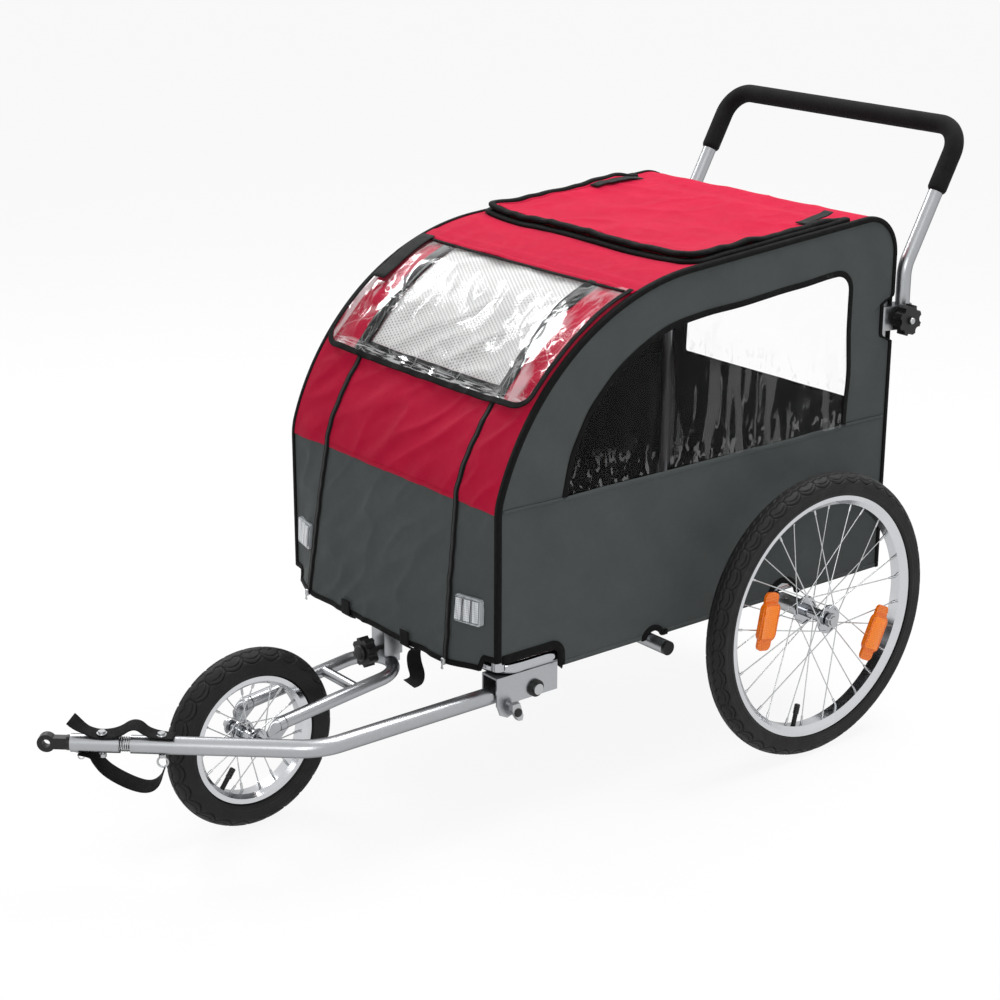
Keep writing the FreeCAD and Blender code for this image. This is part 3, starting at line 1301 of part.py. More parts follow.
def coil(start, turns, pitch, radius):
    """Helix about the tow bar's front run, in quarter turns of two tangent arcs."""
    def spot(k):
        angle = k * math.pi / 2
        point = on_tow(start + pitch * k / 4, radius * math.sin(angle), radius * math.cos(angle))
        way = (tow_along * (pitch / (2 * math.pi)) + Vector(0, 0, radius * math.cos(angle))
               + tow_side * (-radius * math.sin(angle)))
        return point, way.normalize()
    edges = []
    for k in range(int(turns * 4)):
        (a, a_dir), (b, b_dir) = spot(k), spot(k + 1)
        edges += biarc(a, a_dir, b, b_dir)
    return edges


SPRING_TURNS = 7
spring_pitch = float(S.spring_gap) / 5
spring_radius = float(S.tow_dia) / 2 - float(S.tow_wall) - 0.6 - float(S.spring_wire) / 2
spring = wire_coil(coil(SPRING_START - spring_pitch, SPRING_TURNS, spring_pitch, spring_radius),
                   float(S.spring_wire))
print("hitch_spring: %d turns, gap between turns %.2f mm"
      % (SPRING_TURNS, spring_pitch * math.cos(math.atan2(
          spring_pitch, 2 * math.pi * spring_radius)) - float(S.spring_wire)))
solid_piece("hitch_spring", spring)

eye_at = HITCH_END + float(S.eye_reach)
eye_half = float(S.eye_thick) / 2
rod = Part.makeCylinder(float(S.tow_dia) / 2 - float(S.tow_wall) - float(S.run_gap), 30,
                        on_tow(HITCH_END - 24), tow_along)
neck = Part.makeBox(float(S.eye_reach), 2 * eye_half, 18, Vector(0, -eye_half, -9))
neck.rotate(Vector(), Vector(0, 0, 1), -float(S.tow_turn))
neck.translate(on_tow(HITCH_END))
loop = Part.makeCylinder(float(S.eye_dia) / 2, 2 * eye_half, on_tow(eye_at, 0, -eye_half), tow_side)
bore = Part.makeCylinder(float(S.eye_hole) / 2, 60, on_tow(eye_at, 0, -30), tow_side)
solid_piece("hitch_eye", rod.fuse([neck, loop]).cut(bore).removeSplitter())

bolts = []
for reach in (REAR_BOLT, FRONT_BOLT):
    half = float(S.tow_dia) / 2
    head = Part.makeCylinder(5.5, 4, on_tow(reach, half + float(S.strap_thick) + 0.6))
    shank = Part.makeCylinder(BOLT_RADIUS, 2 * half + 10, on_tow(reach, -half - 5))
    under = half + (0.6 if reach == REAR_BOLT else float(S.strap_thick) + 0.6)
    nut = Part.makeCylinder(5.5, 5, on_tow(reach, -under - 5))
    bolts.append(head.fuse([shank, nut]).removeSplitter().Solids[0])

RING_RADIUS, RING_WIRE = 8.0, 1.5
ring_rise = -float(S.tow_dia) / 2 - 5.6 - RING_RADIUS
bolts[0] = bolts[0].fuse(Part.makeTorus(RING_RADIUS, RING_WIRE, on_tow(REAR_BOLT, ring_rise),
                                        tow_side)).removeSplitter().Solids[0]
solid_piece("rear_strap_bolt", bolts[0])
solid_piece("front_strap_bolt", bolts[1])

# Safety strap over the coupling and its slack loop below

strap_wide, strap_thick = float(S.strap_wide), float(S.strap_thick)
lift = float(S.tow_dia) / 2 + strap_thick / 2 + GAP


def slack_path(label, corners):
    """Straight runs with bends as wide as the shorter run at each corner allows."""
    radii = []
    for before, corner, after in zip(corners, corners[1:], corners[2:]):
        back, ahead = before - corner, after - corner
        turn = math.pi - back.getAngle(ahead)
        radii.append(0.45 * min(back.Length, ahead.Length) / math.tan(turn / 2))
    path = bent_path(corners, radii)
    print("%s: %.0f mm long, bends %s mm" % (label, sum(e.Length for e in path),
                                             ", ".join("%.1f" % r for r in radii)))
    return path


top_run = [on_tow(REAR_BOLT - 20, lift), on_tow(REAR_BOLT + 16, lift),
           on_tow(REAR_BOLT + 38, lift + 22), on_tow(FRONT_BOLT - 22, lift),
           on_tow(FRONT_BOLT + 22, lift), on_tow(FRONT_BOLT + 46, lift + 24)]
ring_low = ring_rise - RING_RADIUS - RING_WIRE - strap_thick / 2
low_run = [on_tow(REAR_BOLT - 2, ring_low), on_tow(REAR_BOLT + 20, -lift - 42),
           on_tow(FRONT_BOLT - 44, -lift - 48), on_tow(FRONT_BOLT - 30, -lift - 28),
           on_tow(FRONT_BOLT - 20, -lift), on_tow(FRONT_BOLT + 34, -lift)]
for label, run in (("safety_strap", top_run), ("safety_loop", low_run)):
    band = strap_band(slack_path(label, run), tow_side, strap_wide, strap_thick)
    solid_piece(label, band.cut(bolt_bore(REAR_BOLT, GAP)).cut(bolt_bore(FRONT_BOLT, GAP)))

# Short pull strap that hangs from the underside of the front rail

hang_z = float(RAIL_Z) - float(S.rail_dia) / 2 - strap_thick / 2 - GAP
hang = [Vector(float(S.rail_front), y, hang_z - drop)
        for y, drop in ((130, 0), (100, 0), (86, 40), (52, 100))]
solid_piece("pull_strap", strap_band(slack_path("pull_strap", hang), Vector(1, 0, 0), strap_wide,
                                     strap_thick))

# Checks and hand-out of the pieces

doc.recompute()
faults = []
for obj in doc.Objects:
    if "Invalid" in obj.State or "Error" in obj.State:
        faults.append("%s: %s" % (obj.Label, obj.State))
for obj in parts:
    shape = obj.Shape
    if shape.isNull() or not shape.isValid() or not shape.Solids:
        faults.append("%s: no valid solid" % obj.Label)
if faults:
    raise RuntimeError("; ".join(faults))

os.makedirs("parts", exist_ok=True)
for obj in parts:
    obj.Shape.exportStep(os.path.join("parts", obj.Label + ".step"))
box = parts[0].Shape.BoundBox
for obj in parts[1:]:
    box.add(obj.Shape.BoundBox)
print("%d pieces, x %.1f..%.1f, y %.1f..%.1f, z %.1f..%.1f"
      % (len(parts), box.XMin, box.XMax, box.YMin, box.YMax, box.ZMin, box.ZMax))
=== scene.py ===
"""Dog bike trailer: cloth cover, clear film, tyres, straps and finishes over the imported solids."""

import logging
import math
from dataclasses import dataclass
from enum import Enum
from typing import Callable, Optional, Sequence, Union

import bmesh
import bpy
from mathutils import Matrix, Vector, noise


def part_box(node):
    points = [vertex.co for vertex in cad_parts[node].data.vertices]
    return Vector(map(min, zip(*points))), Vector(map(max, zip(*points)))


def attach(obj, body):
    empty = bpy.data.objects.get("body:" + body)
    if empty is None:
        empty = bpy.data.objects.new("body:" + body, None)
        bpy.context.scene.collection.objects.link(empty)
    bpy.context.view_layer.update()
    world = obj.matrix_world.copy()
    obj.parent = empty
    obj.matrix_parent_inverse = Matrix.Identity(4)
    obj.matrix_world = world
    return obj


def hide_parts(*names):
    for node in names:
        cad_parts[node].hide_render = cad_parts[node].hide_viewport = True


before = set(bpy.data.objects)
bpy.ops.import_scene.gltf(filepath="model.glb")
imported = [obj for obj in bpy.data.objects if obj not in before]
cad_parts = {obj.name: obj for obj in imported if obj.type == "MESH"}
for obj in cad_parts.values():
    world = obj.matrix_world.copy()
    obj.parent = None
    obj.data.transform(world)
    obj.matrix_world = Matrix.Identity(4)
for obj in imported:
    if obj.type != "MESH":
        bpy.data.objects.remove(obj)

LOG = logging.getLogger("trailer")
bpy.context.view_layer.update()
AXLE_X = -0.4235
AXLE_Z = 0.250
RIGHT_UP = Vector((0.0, 0.0, 1.0))
ACROSS = Vector((0.0, 1.0, 0.0))
FORWARD = Vector((1.0, 0.0, 0.0))
STITCH_STEP = 0.0009

Obj = bpy.types.Object
Mat = bpy.types.Material
Pair = tuple[float, float]
Triple = tuple[float, float, float]
Place = Callable[[float, float], Vector]
Ups = Union[Vector, Sequence[Vector]]
Swell = Callable[[int], Union[float, Pair]]
SLOTS: dict[str, str] = {
    "red_polyester": "red_fabric", "grey_polyester": "grey_fabric", "dark_border": "grey_fabric",
    "black_binding": "black_webbing", "black_webbing_ribs": "black_webbing",
    "clear_window": "clear_film", "clear_flap_film": "clear_film", "white_net": "pale_mesh",
    "silver_tube_finish": "silver_tube", "zinc_plate": "zinc_steel",
    "tyre_rubber_finish": "tyre_rubber", "black_moulding": "black_plastic",
    "foam_sleeve": "foam_grip", "clear_prism": "clear_reflector",
    "amber_prism": "amber_reflector",
}


class Body(Enum):
    """The moving bodies that pieces ride on."""

    CHASSIS = "chassis"
    DOOR = "front_door"
    FLAP = "clear_flap"
    HATCH = "sun_hatch"
    HANDLE = "handle"
    TOW = "tow_bar"
    HITCH = "hitch"
    LEFT_WHEEL = "left_wheel"
    RIGHT_WHEEL = "right_wheel"
    FRONT_WHEEL = "front_wheel"
    LEFT_KNOB = "left_knob"
    RIGHT_KNOB = "right_knob"
    FORK_CLAMP = "fork_clamp"
    FORK = "fork"
    LOCK_PIN = "lock_pin"


class Side(Enum):
    """Left is the +Y side, right the -Y side."""

    LEFT = 1
    RIGHT = -1

    @property
    def word(self) -> str:
        """The side's name in lower case."""
        return self.name.lower()

    @property
    def flip(self) -> bool:
        """Whether a sheet that is laid as on the left is turned over."""
        return self is Side.RIGHT

    @property
    def wheel(self) -> Body:
        """The wheel on this side."""
        return Body[self.name + "_WHEEL"]


def ease(value: float, low: float, high: float) -> float:
    """Smooth step from 0 at low to 1 at high."""
    t = min(1.0, max(0.0, (value - low) / (high - low)))
    return t * t * (3.0 - 2.0 * t)


def spread(low: float, high: float, count: int) -> list[float]:
    """Evenly spaced values, both ends included."""
    return [low + (high - low) * i / (count - 1) for i in range(count)]


def on_axle(x: float, y: float, z: float) -> Vector:
    """A point measured from the wheel axle, in the part's frame."""
    return Vector((x + AXLE_X, y, z))


def fold(u: float, v: float, size: float, seed: float) -> float:
    """Soft noise from -1 to 1 with lumps of about the given size in metres."""
    return noise.noise(Vector((u / size, v / size, seed * 7.31)))


def crease(u: float, v: float, size: float, seed: float) -> float:
    """Sharp-ridged noise from 0 to 1, for film and stiff cloth."""
    return (1.0 - min(1.0, 2.2 * abs(fold(u, v, size, seed)))) ** 2


# Outlines in the side plane


@dataclass(frozen=True)
class Straight:
    """A straight run of an outline.

    Args:
        start: first point, x and z from the axle.
        end: last point.
    """

    start: Pair
    end: Pair

    @property
    def length(self) -> float:
        """Length of the run."""
        return math.dist(self.start, self.end)

    def at(self, reach: float) -> tuple[Pair, Pair]:
        """Finds a place on the run.

        Args:
            reach: distance along the run.

        Returns:
            The point and its outward normal.
        """
        dx = (self.end[0] - self.start[0]) / self.length
        dz = (self.end[1] - self.start[1]) / self.length
        return (self.start[0] + dx * reach, self.start[1] + dz * reach), (dz, -dx)


@dataclass(frozen=True)
class Bend:
    """A circular run of an outline, turning anticlockwise between two angles in degrees."""

    centre: Pair
    radius: float
    first: float
    last: float

    @property
    def length(self) -> float:
        """Length of the run."""
        return self.radius * math.radians(self.last - self.first)

    def at(self, reach: float) -> tuple[Pair, Pair]:
        """Finds a place on the run.

        Args:
            reach: distance along the run.

        Returns:
            The point and its outward normal.
        """
        turn = math.radians(self.first) + reach / self.radius
        normal = (math.cos(turn), math.sin(turn))
        return (self.centre[0] + self.radius * normal[0],
                self.centre[1] + self.radius * normal[1]), normal


class Outline:
    """Runs joined end to end."""

    def __init__(self, *runs: Union[Straight, Bend]) -> None:
        """Keeps the runs and their whole length."""
        self.runs = runs
        self.length = sum(run.length for run in runs)

    def at(self, reach: float) -> tuple[Vector, Vector]:
        """Finds a place on the outline.

        Args:
            reach: distance from the outline's first point.

        Returns:
            The point at y = 0 in the part's frame, and the outward normal there.
        """
        for run in self.runs:
            if reach <= run.length or run is self.runs[-1]:
                (x, z), (nx, nz) = run.at(reach)
                return on_axle(x, 0.0, z), Vector((nx, 0.0, nz))
            reach -= run.length
        raise ValueError("an outline has at least one run")


@dataclass(frozen=True)
class CoverSizes:
    """Main sizes of the cloth cover, from the axle and the ground."""

    front: float = 0.626
    rear: float = -0.241
    hem: float = 0.258
    front_hem: float = 0.276
    seam: float = 0.540
    shoulder: float = 0.530
    shoulder_radius: float = 0.110
    arch: Pair = (0.20215, 0.42802)
    arch_radius: float = 0.440
    low_turn: float = 18.0
    high_turn: float = 85.8
    back: Pair = (-0.171, 0.8264)
    back_radius: float = 0.070
    half: float = 0.281
    band: float = 0.2790
    door: float = 0.178
    door_foot: float = 0.193
    corner_notch: float = 0.246
    notch_top: float = 0.295
    top_x: float = 0.347
    bulge: float = 0.037


SIZE = CoverSizes()
WINDOW_ARCH: Pair = (0.20415, 0.490)
WINDOW_RADIUS = 0.297
WINDOW_LOW = 0.542
WINDOW_REAR = -0.134
WINDOW_CORNER: Pair = (-0.102, 0.7782)
WINDOW_CORNER_RADIUS = 0.032


def polar(centre: Pair, radius: float, turn: float) -> Pair:
    """A point on a circle at an angle in degrees."""
    return (centre[0] + radius * math.cos(math.radians(turn)),
            centre[1] + radius * math.sin(math.radians(turn)))


def cover_outline() -> Outline:
    """Draws the cover as seen from the side.

    Returns:
        The outline, from the front hem over the roof to the rear hem.
    """
    shoulder = (SIZE.front - SIZE.shoulder_radius, SIZE.shoulder)
    return Outline(
        Straight((SIZE.front, SIZE.hem), (SIZE.front, SIZE.shoulder)),
        Bend(shoulder, SIZE.shoulder_radius, 0.0, SIZE.low_turn),
        Bend(SIZE.arch, SIZE.arch_radius, SIZE.low_turn, SIZE.high_turn),
        Straight(polar(SIZE.arch, SIZE.arch_radius, SIZE.high_turn),
                 polar(SIZE.back, SIZE.back_radius, SIZE.high_turn)),
        Bend(SIZE.back, SIZE.back_radius, SIZE.high_turn, 180.0),
        Straight((SIZE.rear, SIZE.back[1]), (SIZE.rear, SIZE.hem)))


def window_outline() -> Outline:
    """Draws the side window's edge.

    Returns:
        The outline, from its front foot over the arch to its rear foot.
    """
    first = math.degrees(math.asin((WINDOW_LOW - WINDOW_ARCH[1]) / WINDOW_RADIUS))
    return Outline(
        Bend(WINDOW_ARCH, WINDOW_RADIUS, first, SIZE.high_turn),
        Straight(polar(WINDOW_ARCH, WINDOW_RADIUS, SIZE.high_turn),
                 polar(WINDOW_CORNER, WINDOW_CORNER_RADIUS, SIZE.high_turn)),
        Bend(WINDOW_CORNER, WINDOW_CORNER_RADIUS, SIZE.high_turn, 180.0),
        Straight((WINDOW_REAR, WINDOW_CORNER[1]), (WINDOW_REAR, WINDOW_LOW)))


COVER = cover_outline()
WINDOW = window_outline()


def reach_at_height(z: float) -> float:
    """Measures up to a height on the front.

    Args:
        z: height over the ground.

    Returns:
        The distance along the cover from the front hem.
    """
    if z <= SIZE.shoulder:
        return z - SIZE.hem
    start = SIZE.shoulder - SIZE.hem
    low = math.radians(SIZE.low_turn)
    if z <= SIZE.shoulder + SIZE.shoulder_radius * math.sin(low):
        return start + SIZE.shoulder_radius * math.asin((z - SIZE.shoulder) / SIZE.shoulder_radius)
    turn = math.asin((z - SIZE.arch[1]) / SIZE.arch_radius)
    return start + SIZE.shoulder_radius * low + SIZE.arch_radius * (turn - low)


def reach_at_x(x: float) -> float:
    """Measures up to a place on the arch's upper part or the roof.

    Args:
        x: distance ahead of the axle.

    Returns:
        The distance along the cover from the front hem.
    """
    crown = polar(SIZE.arch, SIZE.arch_radius, SIZE.high_turn)
    if x > crown[0]:
        turn = math.acos((x - SIZE.arch[0]) / SIZE.arch_radius)
        return reach_at_height(SIZE.arch[1] + SIZE.arch_radius * math.sin(turn))
    rise = math.radians(90.0 - SIZE.high_turn)
    return reach_at_height(crown[1]) + (crown[0] - x) / math.cos(rise)


SEAM_REACH = reach_at_height(SIZE.seam)
FOOT_REACH = SIZE.front_hem - SIZE.hem
TOP_REACH = reach_at_x(SIZE.top_x)
BACK_REACH = COVER.length - (SIZE.back[1] - SIZE.hem)


# Mesh helpers


def link_mesh(name: str, bm: bmesh.types.BMesh, smooth: bool = True) -> Obj:
    """Turns a finished bmesh into an object in the scene.

    Args:
        name: the piece's name.
        bm: the shape, which is freed.
        smooth: whether faces are shaded smooth.

    Returns:
        The new object at the origin.
    """
    mesh = bpy.data.meshes.new(name)
    bm.to_mesh(mesh)
    bm.free()
    for polygon in mesh.polygons:
        polygon.use_smooth = smooth
    obj = bpy.data.objects.new(name, mesh)
    bpy.context.scene.collection.objects.link(obj)
    return obj


def lay_cloth(name: str, us: Sequence[float], vs: Sequence[float], place: Place, *,
              hole: Optional[Callable[[float, float], bool]] = None,
              chart: Optional[Callable[[Vector], Pair]] = None,
              flip: bool = False, thick: float = 0.0012) -> Obj:
    """Lays a grid of cloth on a surface, with a UV map in metres.

    Args:
        name: the piece's name.
        us: values across the cloth.
        vs: values along the cloth.
        place: gives the point for a pair of values.
        hole: says which faces are cut out, by the values at their middle.
        chart: gives the UV from a point, where the values aren't metres.
        flip: turns the faces over.
        thick: thickness that is added inwards, or 0 for none.

    Returns:
        The cloth's object.
    """
    bm = bmesh.new()
    layer = bm.loops.layers.uv.new("cloth")
    nu, nv = len(us) - 1, len(vs) - 1
    bmesh.ops.create_grid(bm, x_segments=nu, y_segments=nv, size=0.5)
    values = {vert: (us[round((vert.co.x + 0.5) * nu)], vs[round((vert.co.y + 0.5) * nv)])
              for vert in bm.verts}
    if hole:
        def middle(face: bmesh.types.BMFace) -> Pair:
            """The values at a face's middle."""
            pairs = [values[v] for v in face.verts]
            return sum(p[0] for p in pairs) / len(pairs), sum(p[1] for p in pairs) / len(pairs)
        cut = [face for face in bm.faces if hole(*middle(face))]
        bmesh.ops.delete(bm, geom=cut, context="FACES")
    for vert in bm.verts:
        vert.co = place(*values[vert])
    for face in bm.faces:
        for loop in face.loops:
            loop[layer].uv = chart(loop.vert.co) if chart else values[loop.vert]
    if flip:
        bmesh.ops.reverse_faces(bm, faces=bm.faces)
    obj = link_mesh(name, bm)
    if thick:
        wall = obj.modifiers.new("cloth thickness", "SOLIDIFY")
        wall.thickness = thick
        wall.offset = -1.0
    return obj


def tangents(path: Sequence[Vector]) -> list[Vector]:
    """Unit direction of a path at each of its points."""
    last = len(path) - 1
    return [(path[min(i + 1, last)] - path[max(i - 1, 0)]).normalized() for i in range(last + 1)]


def planar_ups(path: Sequence[Vector], side: Vector) -> list[Vector]:
    """Directions square to a path that lies in the plane with the normal side."""
    return [t.cross(side).normalized() for t in tangents(path)]


def oval(wide: float, high: float, count: int = 12, square: float = 1.0) -> list[Pair]:
    """Draws a closed oval section.

    Args:
        wide: full width.
        high: full height.
        count: how many points.
        square: 1 for an oval, and less to fill out its corners.

    Returns:
        The section's points in order.
    """
    def shape(value: float) -> float:
        """Pushes a sine towards its ends."""
        return math.copysign(abs(value) ** square, value)
    turns = [2.0 * math.pi * i / count for i in range(count)]
    return [(wide / 2 * shape(math.cos(t)), high / 2 * shape(math.sin(t))) for t in turns]


def at_each(ups: Ups, path: Sequence[Vector]) -> Sequence[Vector]:
    """One direction for each point of a path."""
    return [ups] * len(path) if isinstance(ups, Vector) else ups


def sweep(name: str, path: Sequence[Vector], ups: Ups, section: Sequence[Pair],
          swell: Optional[Swell] = None) -> Obj:
    """Carries a closed section along a path and closes the ends.

    Args:
        name: the piece's name.
        path: the points that the section's origin follows.
        ups: the section's up direction, alike all along or one at each point.
        section: points across and up, in order round the section.
        swell: scale of the section at each point of the path, alike or across and up.

    Returns:
        The swept object, with UVs in metres round and along it.
    """
    ways, ups, count = tangents(path), at_each(ups, path), len(section)
    girth, along = [0.0], [0.0]
    for i in range(count):
        girth.append(girth[-1] + math.dist(section[i], section[(i + 1) % count]))
    for a, b in zip(path, path[1:]):
        along.append(along[-1] + (b - a).length)
    bm = bmesh.new()
    layer = bm.loops.layers.uv.new("cloth")
    bmesh.ops.create_grid(bm, x_segments=count, y_segments=len(path) - 1, size=0.5)
    spots = {v: (round((v.co.x + 0.5) * count), round((v.co.y + 0.5) * (len(path) - 1)))
             for v in bm.verts}
    for face in bm.faces:
        for loop in face.loops:
            i, j = spots[loop.vert]
            loop[layer].uv = (girth[i], along[j])
    for vert, (i, j) in spots.items():
        across = ups[j].cross(ways[j]).normalized()
        scale = swell(j) if swell else 1.0
        wide, high = scale if isinstance(scale, tuple) else (scale, scale)
        a, b = section[i % count]
        vert.co = path[j] + across * (a * wide) + ups[j] * (b * high)
    bmesh.ops.remove_doubles(bm, verts=bm.verts, dist=1e-7)
    rims = [edge for edge in bm.edges if edge.is_boundary]
    bmesh.ops.holes_fill(bm, edges=rims, sides=0)
    bmesh.ops.recalc_face_normals(bm, faces=bm.faces)
    return link_mesh(name, bm)


def turned(name: str, half: Sequence[Pair], centre: Vector, axis: Vector, steps: int = 40) -> Obj:
    """Spins a half section about an axis.

    Args:
        name: the piece's name.
        half: points as radius and height along the axis.
        centre: the axis's origin.
        axis: the axis's unit direction.
        steps: facets round.

    Returns:
        The turned object.
    """
    bm = bmesh.new()
    side = axis.orthogonal().normalized()
    verts = [bm.verts.new(centre + side * r + axis * h) for r, h in half]
    edges = [bm.edges.new(pair) for pair in zip(verts, verts[1:])]
    bmesh.ops.spin(bm, geom=verts + edges, cent=centre, axis=axis, angle=2 * math.pi,
                   steps=steps, use_merge=True)
    bmesh.ops.remove_doubles(bm, verts=bm.verts, dist=1e-6)
    bmesh.ops.recalc_face_normals(bm, faces=bm.faces)
    obj = link_mesh(name, bm)
    return sharp_at(obj, 40.0)


def sharp_at(obj: Obj, degrees: float) -> Obj:
    """Marks edges sharper than an angle, so that smooth shading keeps them."""
    obj.data.set_sharp_from_angle(angle=math.radians(degrees))
    return obj


def bevelled_box(name: str, middle: Vector, axes: Sequence[Vector], sizes: Sequence[float],
                 round_off: float) -> Obj:
    """A box with rounded edges.

    Args:
        name: the piece's name.
        middle: its centre.
        axes: three unit directions.
        sizes: full lengths along them.
        round_off: radius of its edges.

    Returns:
        The box's object.
    """
    bm = bmesh.new()
    bmesh.ops.create_cube(bm, size=1.0)
    for vert in bm.verts:
        vert.co = middle + sum((axis * (c * s) for axis, c, s in zip(axes, vert.co, sizes)),
                               Vector())
    bmesh.ops.bevel(bm, geom=list(bm.edges), offset=round_off, offset_type="OFFSET", segments=3,
                    profile=0.5, affect="EDGES", material=-1, clamp_overlap=True)
    bmesh.ops.recalc_face_normals(bm, faces=bm.faces)
    return link_mesh(name, bm)


def spline_points(route: Sequence[Vector]) -> list[Vector]:
    """Draws a smooth spline.

    Args:
        route: the control points.

    Returns:
        The points along the spline.
    """
    curve = bpy.data.curves.new("strap_route", "CURVE")
    curve.dimensions = "3D"
    curve.resolution_u = 10
    spline = curve.splines.new("NURBS")
    spline.points.add(len(route) - 1)
    for point, spot in zip(spline.points, route):
        point.co = (*spot, 1.0)
    spline.order_u = 3
    spline.use_endpoint_u = True
    holder = bpy.data.objects.new("strap_route", curve)
    bpy.context.scene.collection.objects.link(holder)
    graph = bpy.context.evaluated_depsgraph_get()
    mesh = bpy.data.meshes.new_from_object(holder.evaluated_get(graph))
    points = [v.co.copy() for v in mesh.vertices]
    bpy.data.meshes.remove(mesh)
    bpy.data.objects.remove(holder)
    bpy.data.curves.remove(curve)
    return points


def stitch(name: str, path: Sequence[Vector], ups: Ups) -> Obj:
    """A row of lock stitches along a seam.

    Args:
        name: the piece's name.
        path: the seam's points.
        ups: direction out of the cloth, alike all along or one at each point.

    Returns:
        The thread, which dips between its stitches.
    """
    spots, rises, ups = [], [], at_each(ups, path)
    for i, (a, b) in enumerate(zip(path, path[1:])):
        steps = max(1, round((b - a).length / STITCH_STEP))
        for k in range(steps):
            spots.append(a.lerp(b, k / steps))
            rises.append(ups[i].lerp(ups[i + 1], k / steps).normalized())
    return sweep(name, spots, rises, oval(0.0014, 0.0011, 6), lambda j: 1.0 if j % 5 else 0.3)


def settle(obj: Obj, finish: Mat, body: Body = Body.CHASSIS, nodes: Sequence[str] = (),
           lining: Optional[Mat] = None, slot: str = "") -> Obj:
    """Dresses a piece, ties it to its body and reports it.

    Args:
        obj: the piece.
        finish: its material.
        body: the body that it moves with.
        nodes: solids that it stands for.
        lining: material of the cloth's inner face, if it differs.
        slot: not used.

    Returns:
        The same piece.
    """
    obj.data.materials.clear()
    obj.data.materials.append(finish)
    if lining:
        obj.data.materials.append(lining)
        obj.modifiers["cloth thickness"].material_offset = 1
    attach(obj, body.value)
    slot or SLOTS[finish.name]
    if nodes:
        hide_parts(*nodes)
    LOG.info("%s on %s", obj.name, body.value)
    return obj


def trim(name: str, path: Sequence[Vector], ups: Ups, section: Sequence[Pair], finish: Mat,
         body: Body = Body.CHASSIS, swell: Optional[Swell] = None) -> None:
    """Sweeps a length of tape, wire or moulding, and settles it."""
    settle(sweep(name, path, ups, section, swell), finish, body)


def hang(cloth: Obj, finish: Mat, body: Body = Body.CHASSIS, *,
         nodes: Sequence[str] = (),
         lining: Optional[Mat] = None) -> None:
    """Settles a sheet, which logs the body that it moves with.

    Args:
        cloth: the sheet.
        finish: its material.
        body: the body that it moves with.
        nodes: solids that it stands for.
        lining: material of its inner face, if it differs.
    """
    settle(cloth, finish, body, nodes, lining)


# Finishes

Socket = bpy.types.NodeSocket
Value = Union[float, tuple, Socket]


class NodeBench:
    """Adds and links the nodes of one tree."""

    def __init__(self, tree: bpy.types.NodeTree) -> None:
        """Empties the tree and keeps it."""
        tree.nodes.clear()
        self.tree = tree

    def feed(self, node: bpy.types.Node, inputs: dict) -> None:
        """Sets or links a node's inputs.

        Args:
            node: the node.
            inputs: values or sockets by input name or number.
        """
        for name, value in inputs.items():
            if isinstance(value, Socket):
                self.tree.links.new(value, node.inputs[name])
            else:
                node.inputs[name].default_value = value

    def add(self, kind: str, inputs: Optional[dict] = None, **settings: object) -> bpy.types.Node:
        """Adds a node.

        Args:
            kind: the node's type without its ShaderNode prefix.
            inputs: values or sockets by input name or number.
            settings: the node's own options.

        Returns:
            The node.
        """
        prefix = "" if kind.startswith("Node") else "ShaderNode"
        node = self.tree.nodes.new(prefix + kind)
        for name, value in settings.items():
            setattr(node, name, value)
        self.feed(node, inputs or {})
        return node

    def math(self, operation: str, *values: Value) -> Socket:
        """A Math node's output."""
        return self.add("Math", dict(enumerate(values)), operation=operation).outputs[0]

    def ramp(self, value: Socket, low: float, high: float, start: float = 0.0,
             end: float = 1.0) -> Socket:
        """A value carried from one range to another and held at its ends."""
        return self.add("MapRange", {0: value, 1: low, 2: high, 3: start, 4: end}).outputs[0]

    def mix(self, share: Socket, first: Value, second: Value) -> Socket:
        """A colour between two."""
        return self.add("Mix", {0: share, 6: first, 7: second}, data_type="RGBA").outputs[2]


class Effect(NodeBench):
    """A shader effect in a group of its own, for several finishes to share."""

    def __init__(self, name: str, takes: dict[str, str], gives: dict[str, str]) -> None:
        """Opens the group.

        Args:
            name: the group's name.
            takes: input names with their socket kinds, besides the map.
            gives: output names with their socket kinds.
        """
        super().__init__(bpy.data.node_groups.new(name, "ShaderNodeTree"))
        for way, sockets in (("INPUT", {"Map": "Vector", **takes}), ("OUTPUT", gives)):
            for label, kind in sockets.items():
                self.tree.interface.new_socket(label, in_out=way, socket_type="NodeSocket" + kind)
        self.takes = self.add("NodeGroupInput").outputs
        self.end = self.add("NodeGroupOutput")

    def noise(self, scale: Socket, detail: float, rough: float = 0.5, bent: float = 0.0) -> Socket:
        """Noise from 0 to 1 on the effect's map."""
        return self.add("TexNoise", {"Vector": self.takes["Map"], "Scale": scale, "Detail": detail,
                                     "Roughness": rough, "Distortion": bent}).outputs[0]

    def give(self, **results: Socket) -> bpy.types.NodeTree:
        """Links the results to the group's outputs, and hands over the group."""
        self.feed(self.end, results)
        return self.tree


def weave_effect() -> bpy.types.NodeTree:
    """Over-and-under threads: Height from 0 to 1, on a map in metres.

    Returns:
        The effect's group.
    """
    bench = Effect("weave", {"Pitch": "Float"}, {"Height": "Float"})
    rate = bench.math("DIVIDE", 2.0 * math.pi, bench.takes["Pitch"])
    scaled = bench.add("VectorMath", {0: bench.takes["Map"], "Scale": rate}, operation="SCALE")
    axes = bench.add("SeparateXYZ", {0: scaled.outputs[0]}).outputs
    cross = bench.math("MULTIPLY", bench.math("SINE", axes[0]), bench.math("SINE", axes[1]))
    return bench.give(Height=bench.math("MULTIPLY_ADD", cross, 0.5, 0.5))


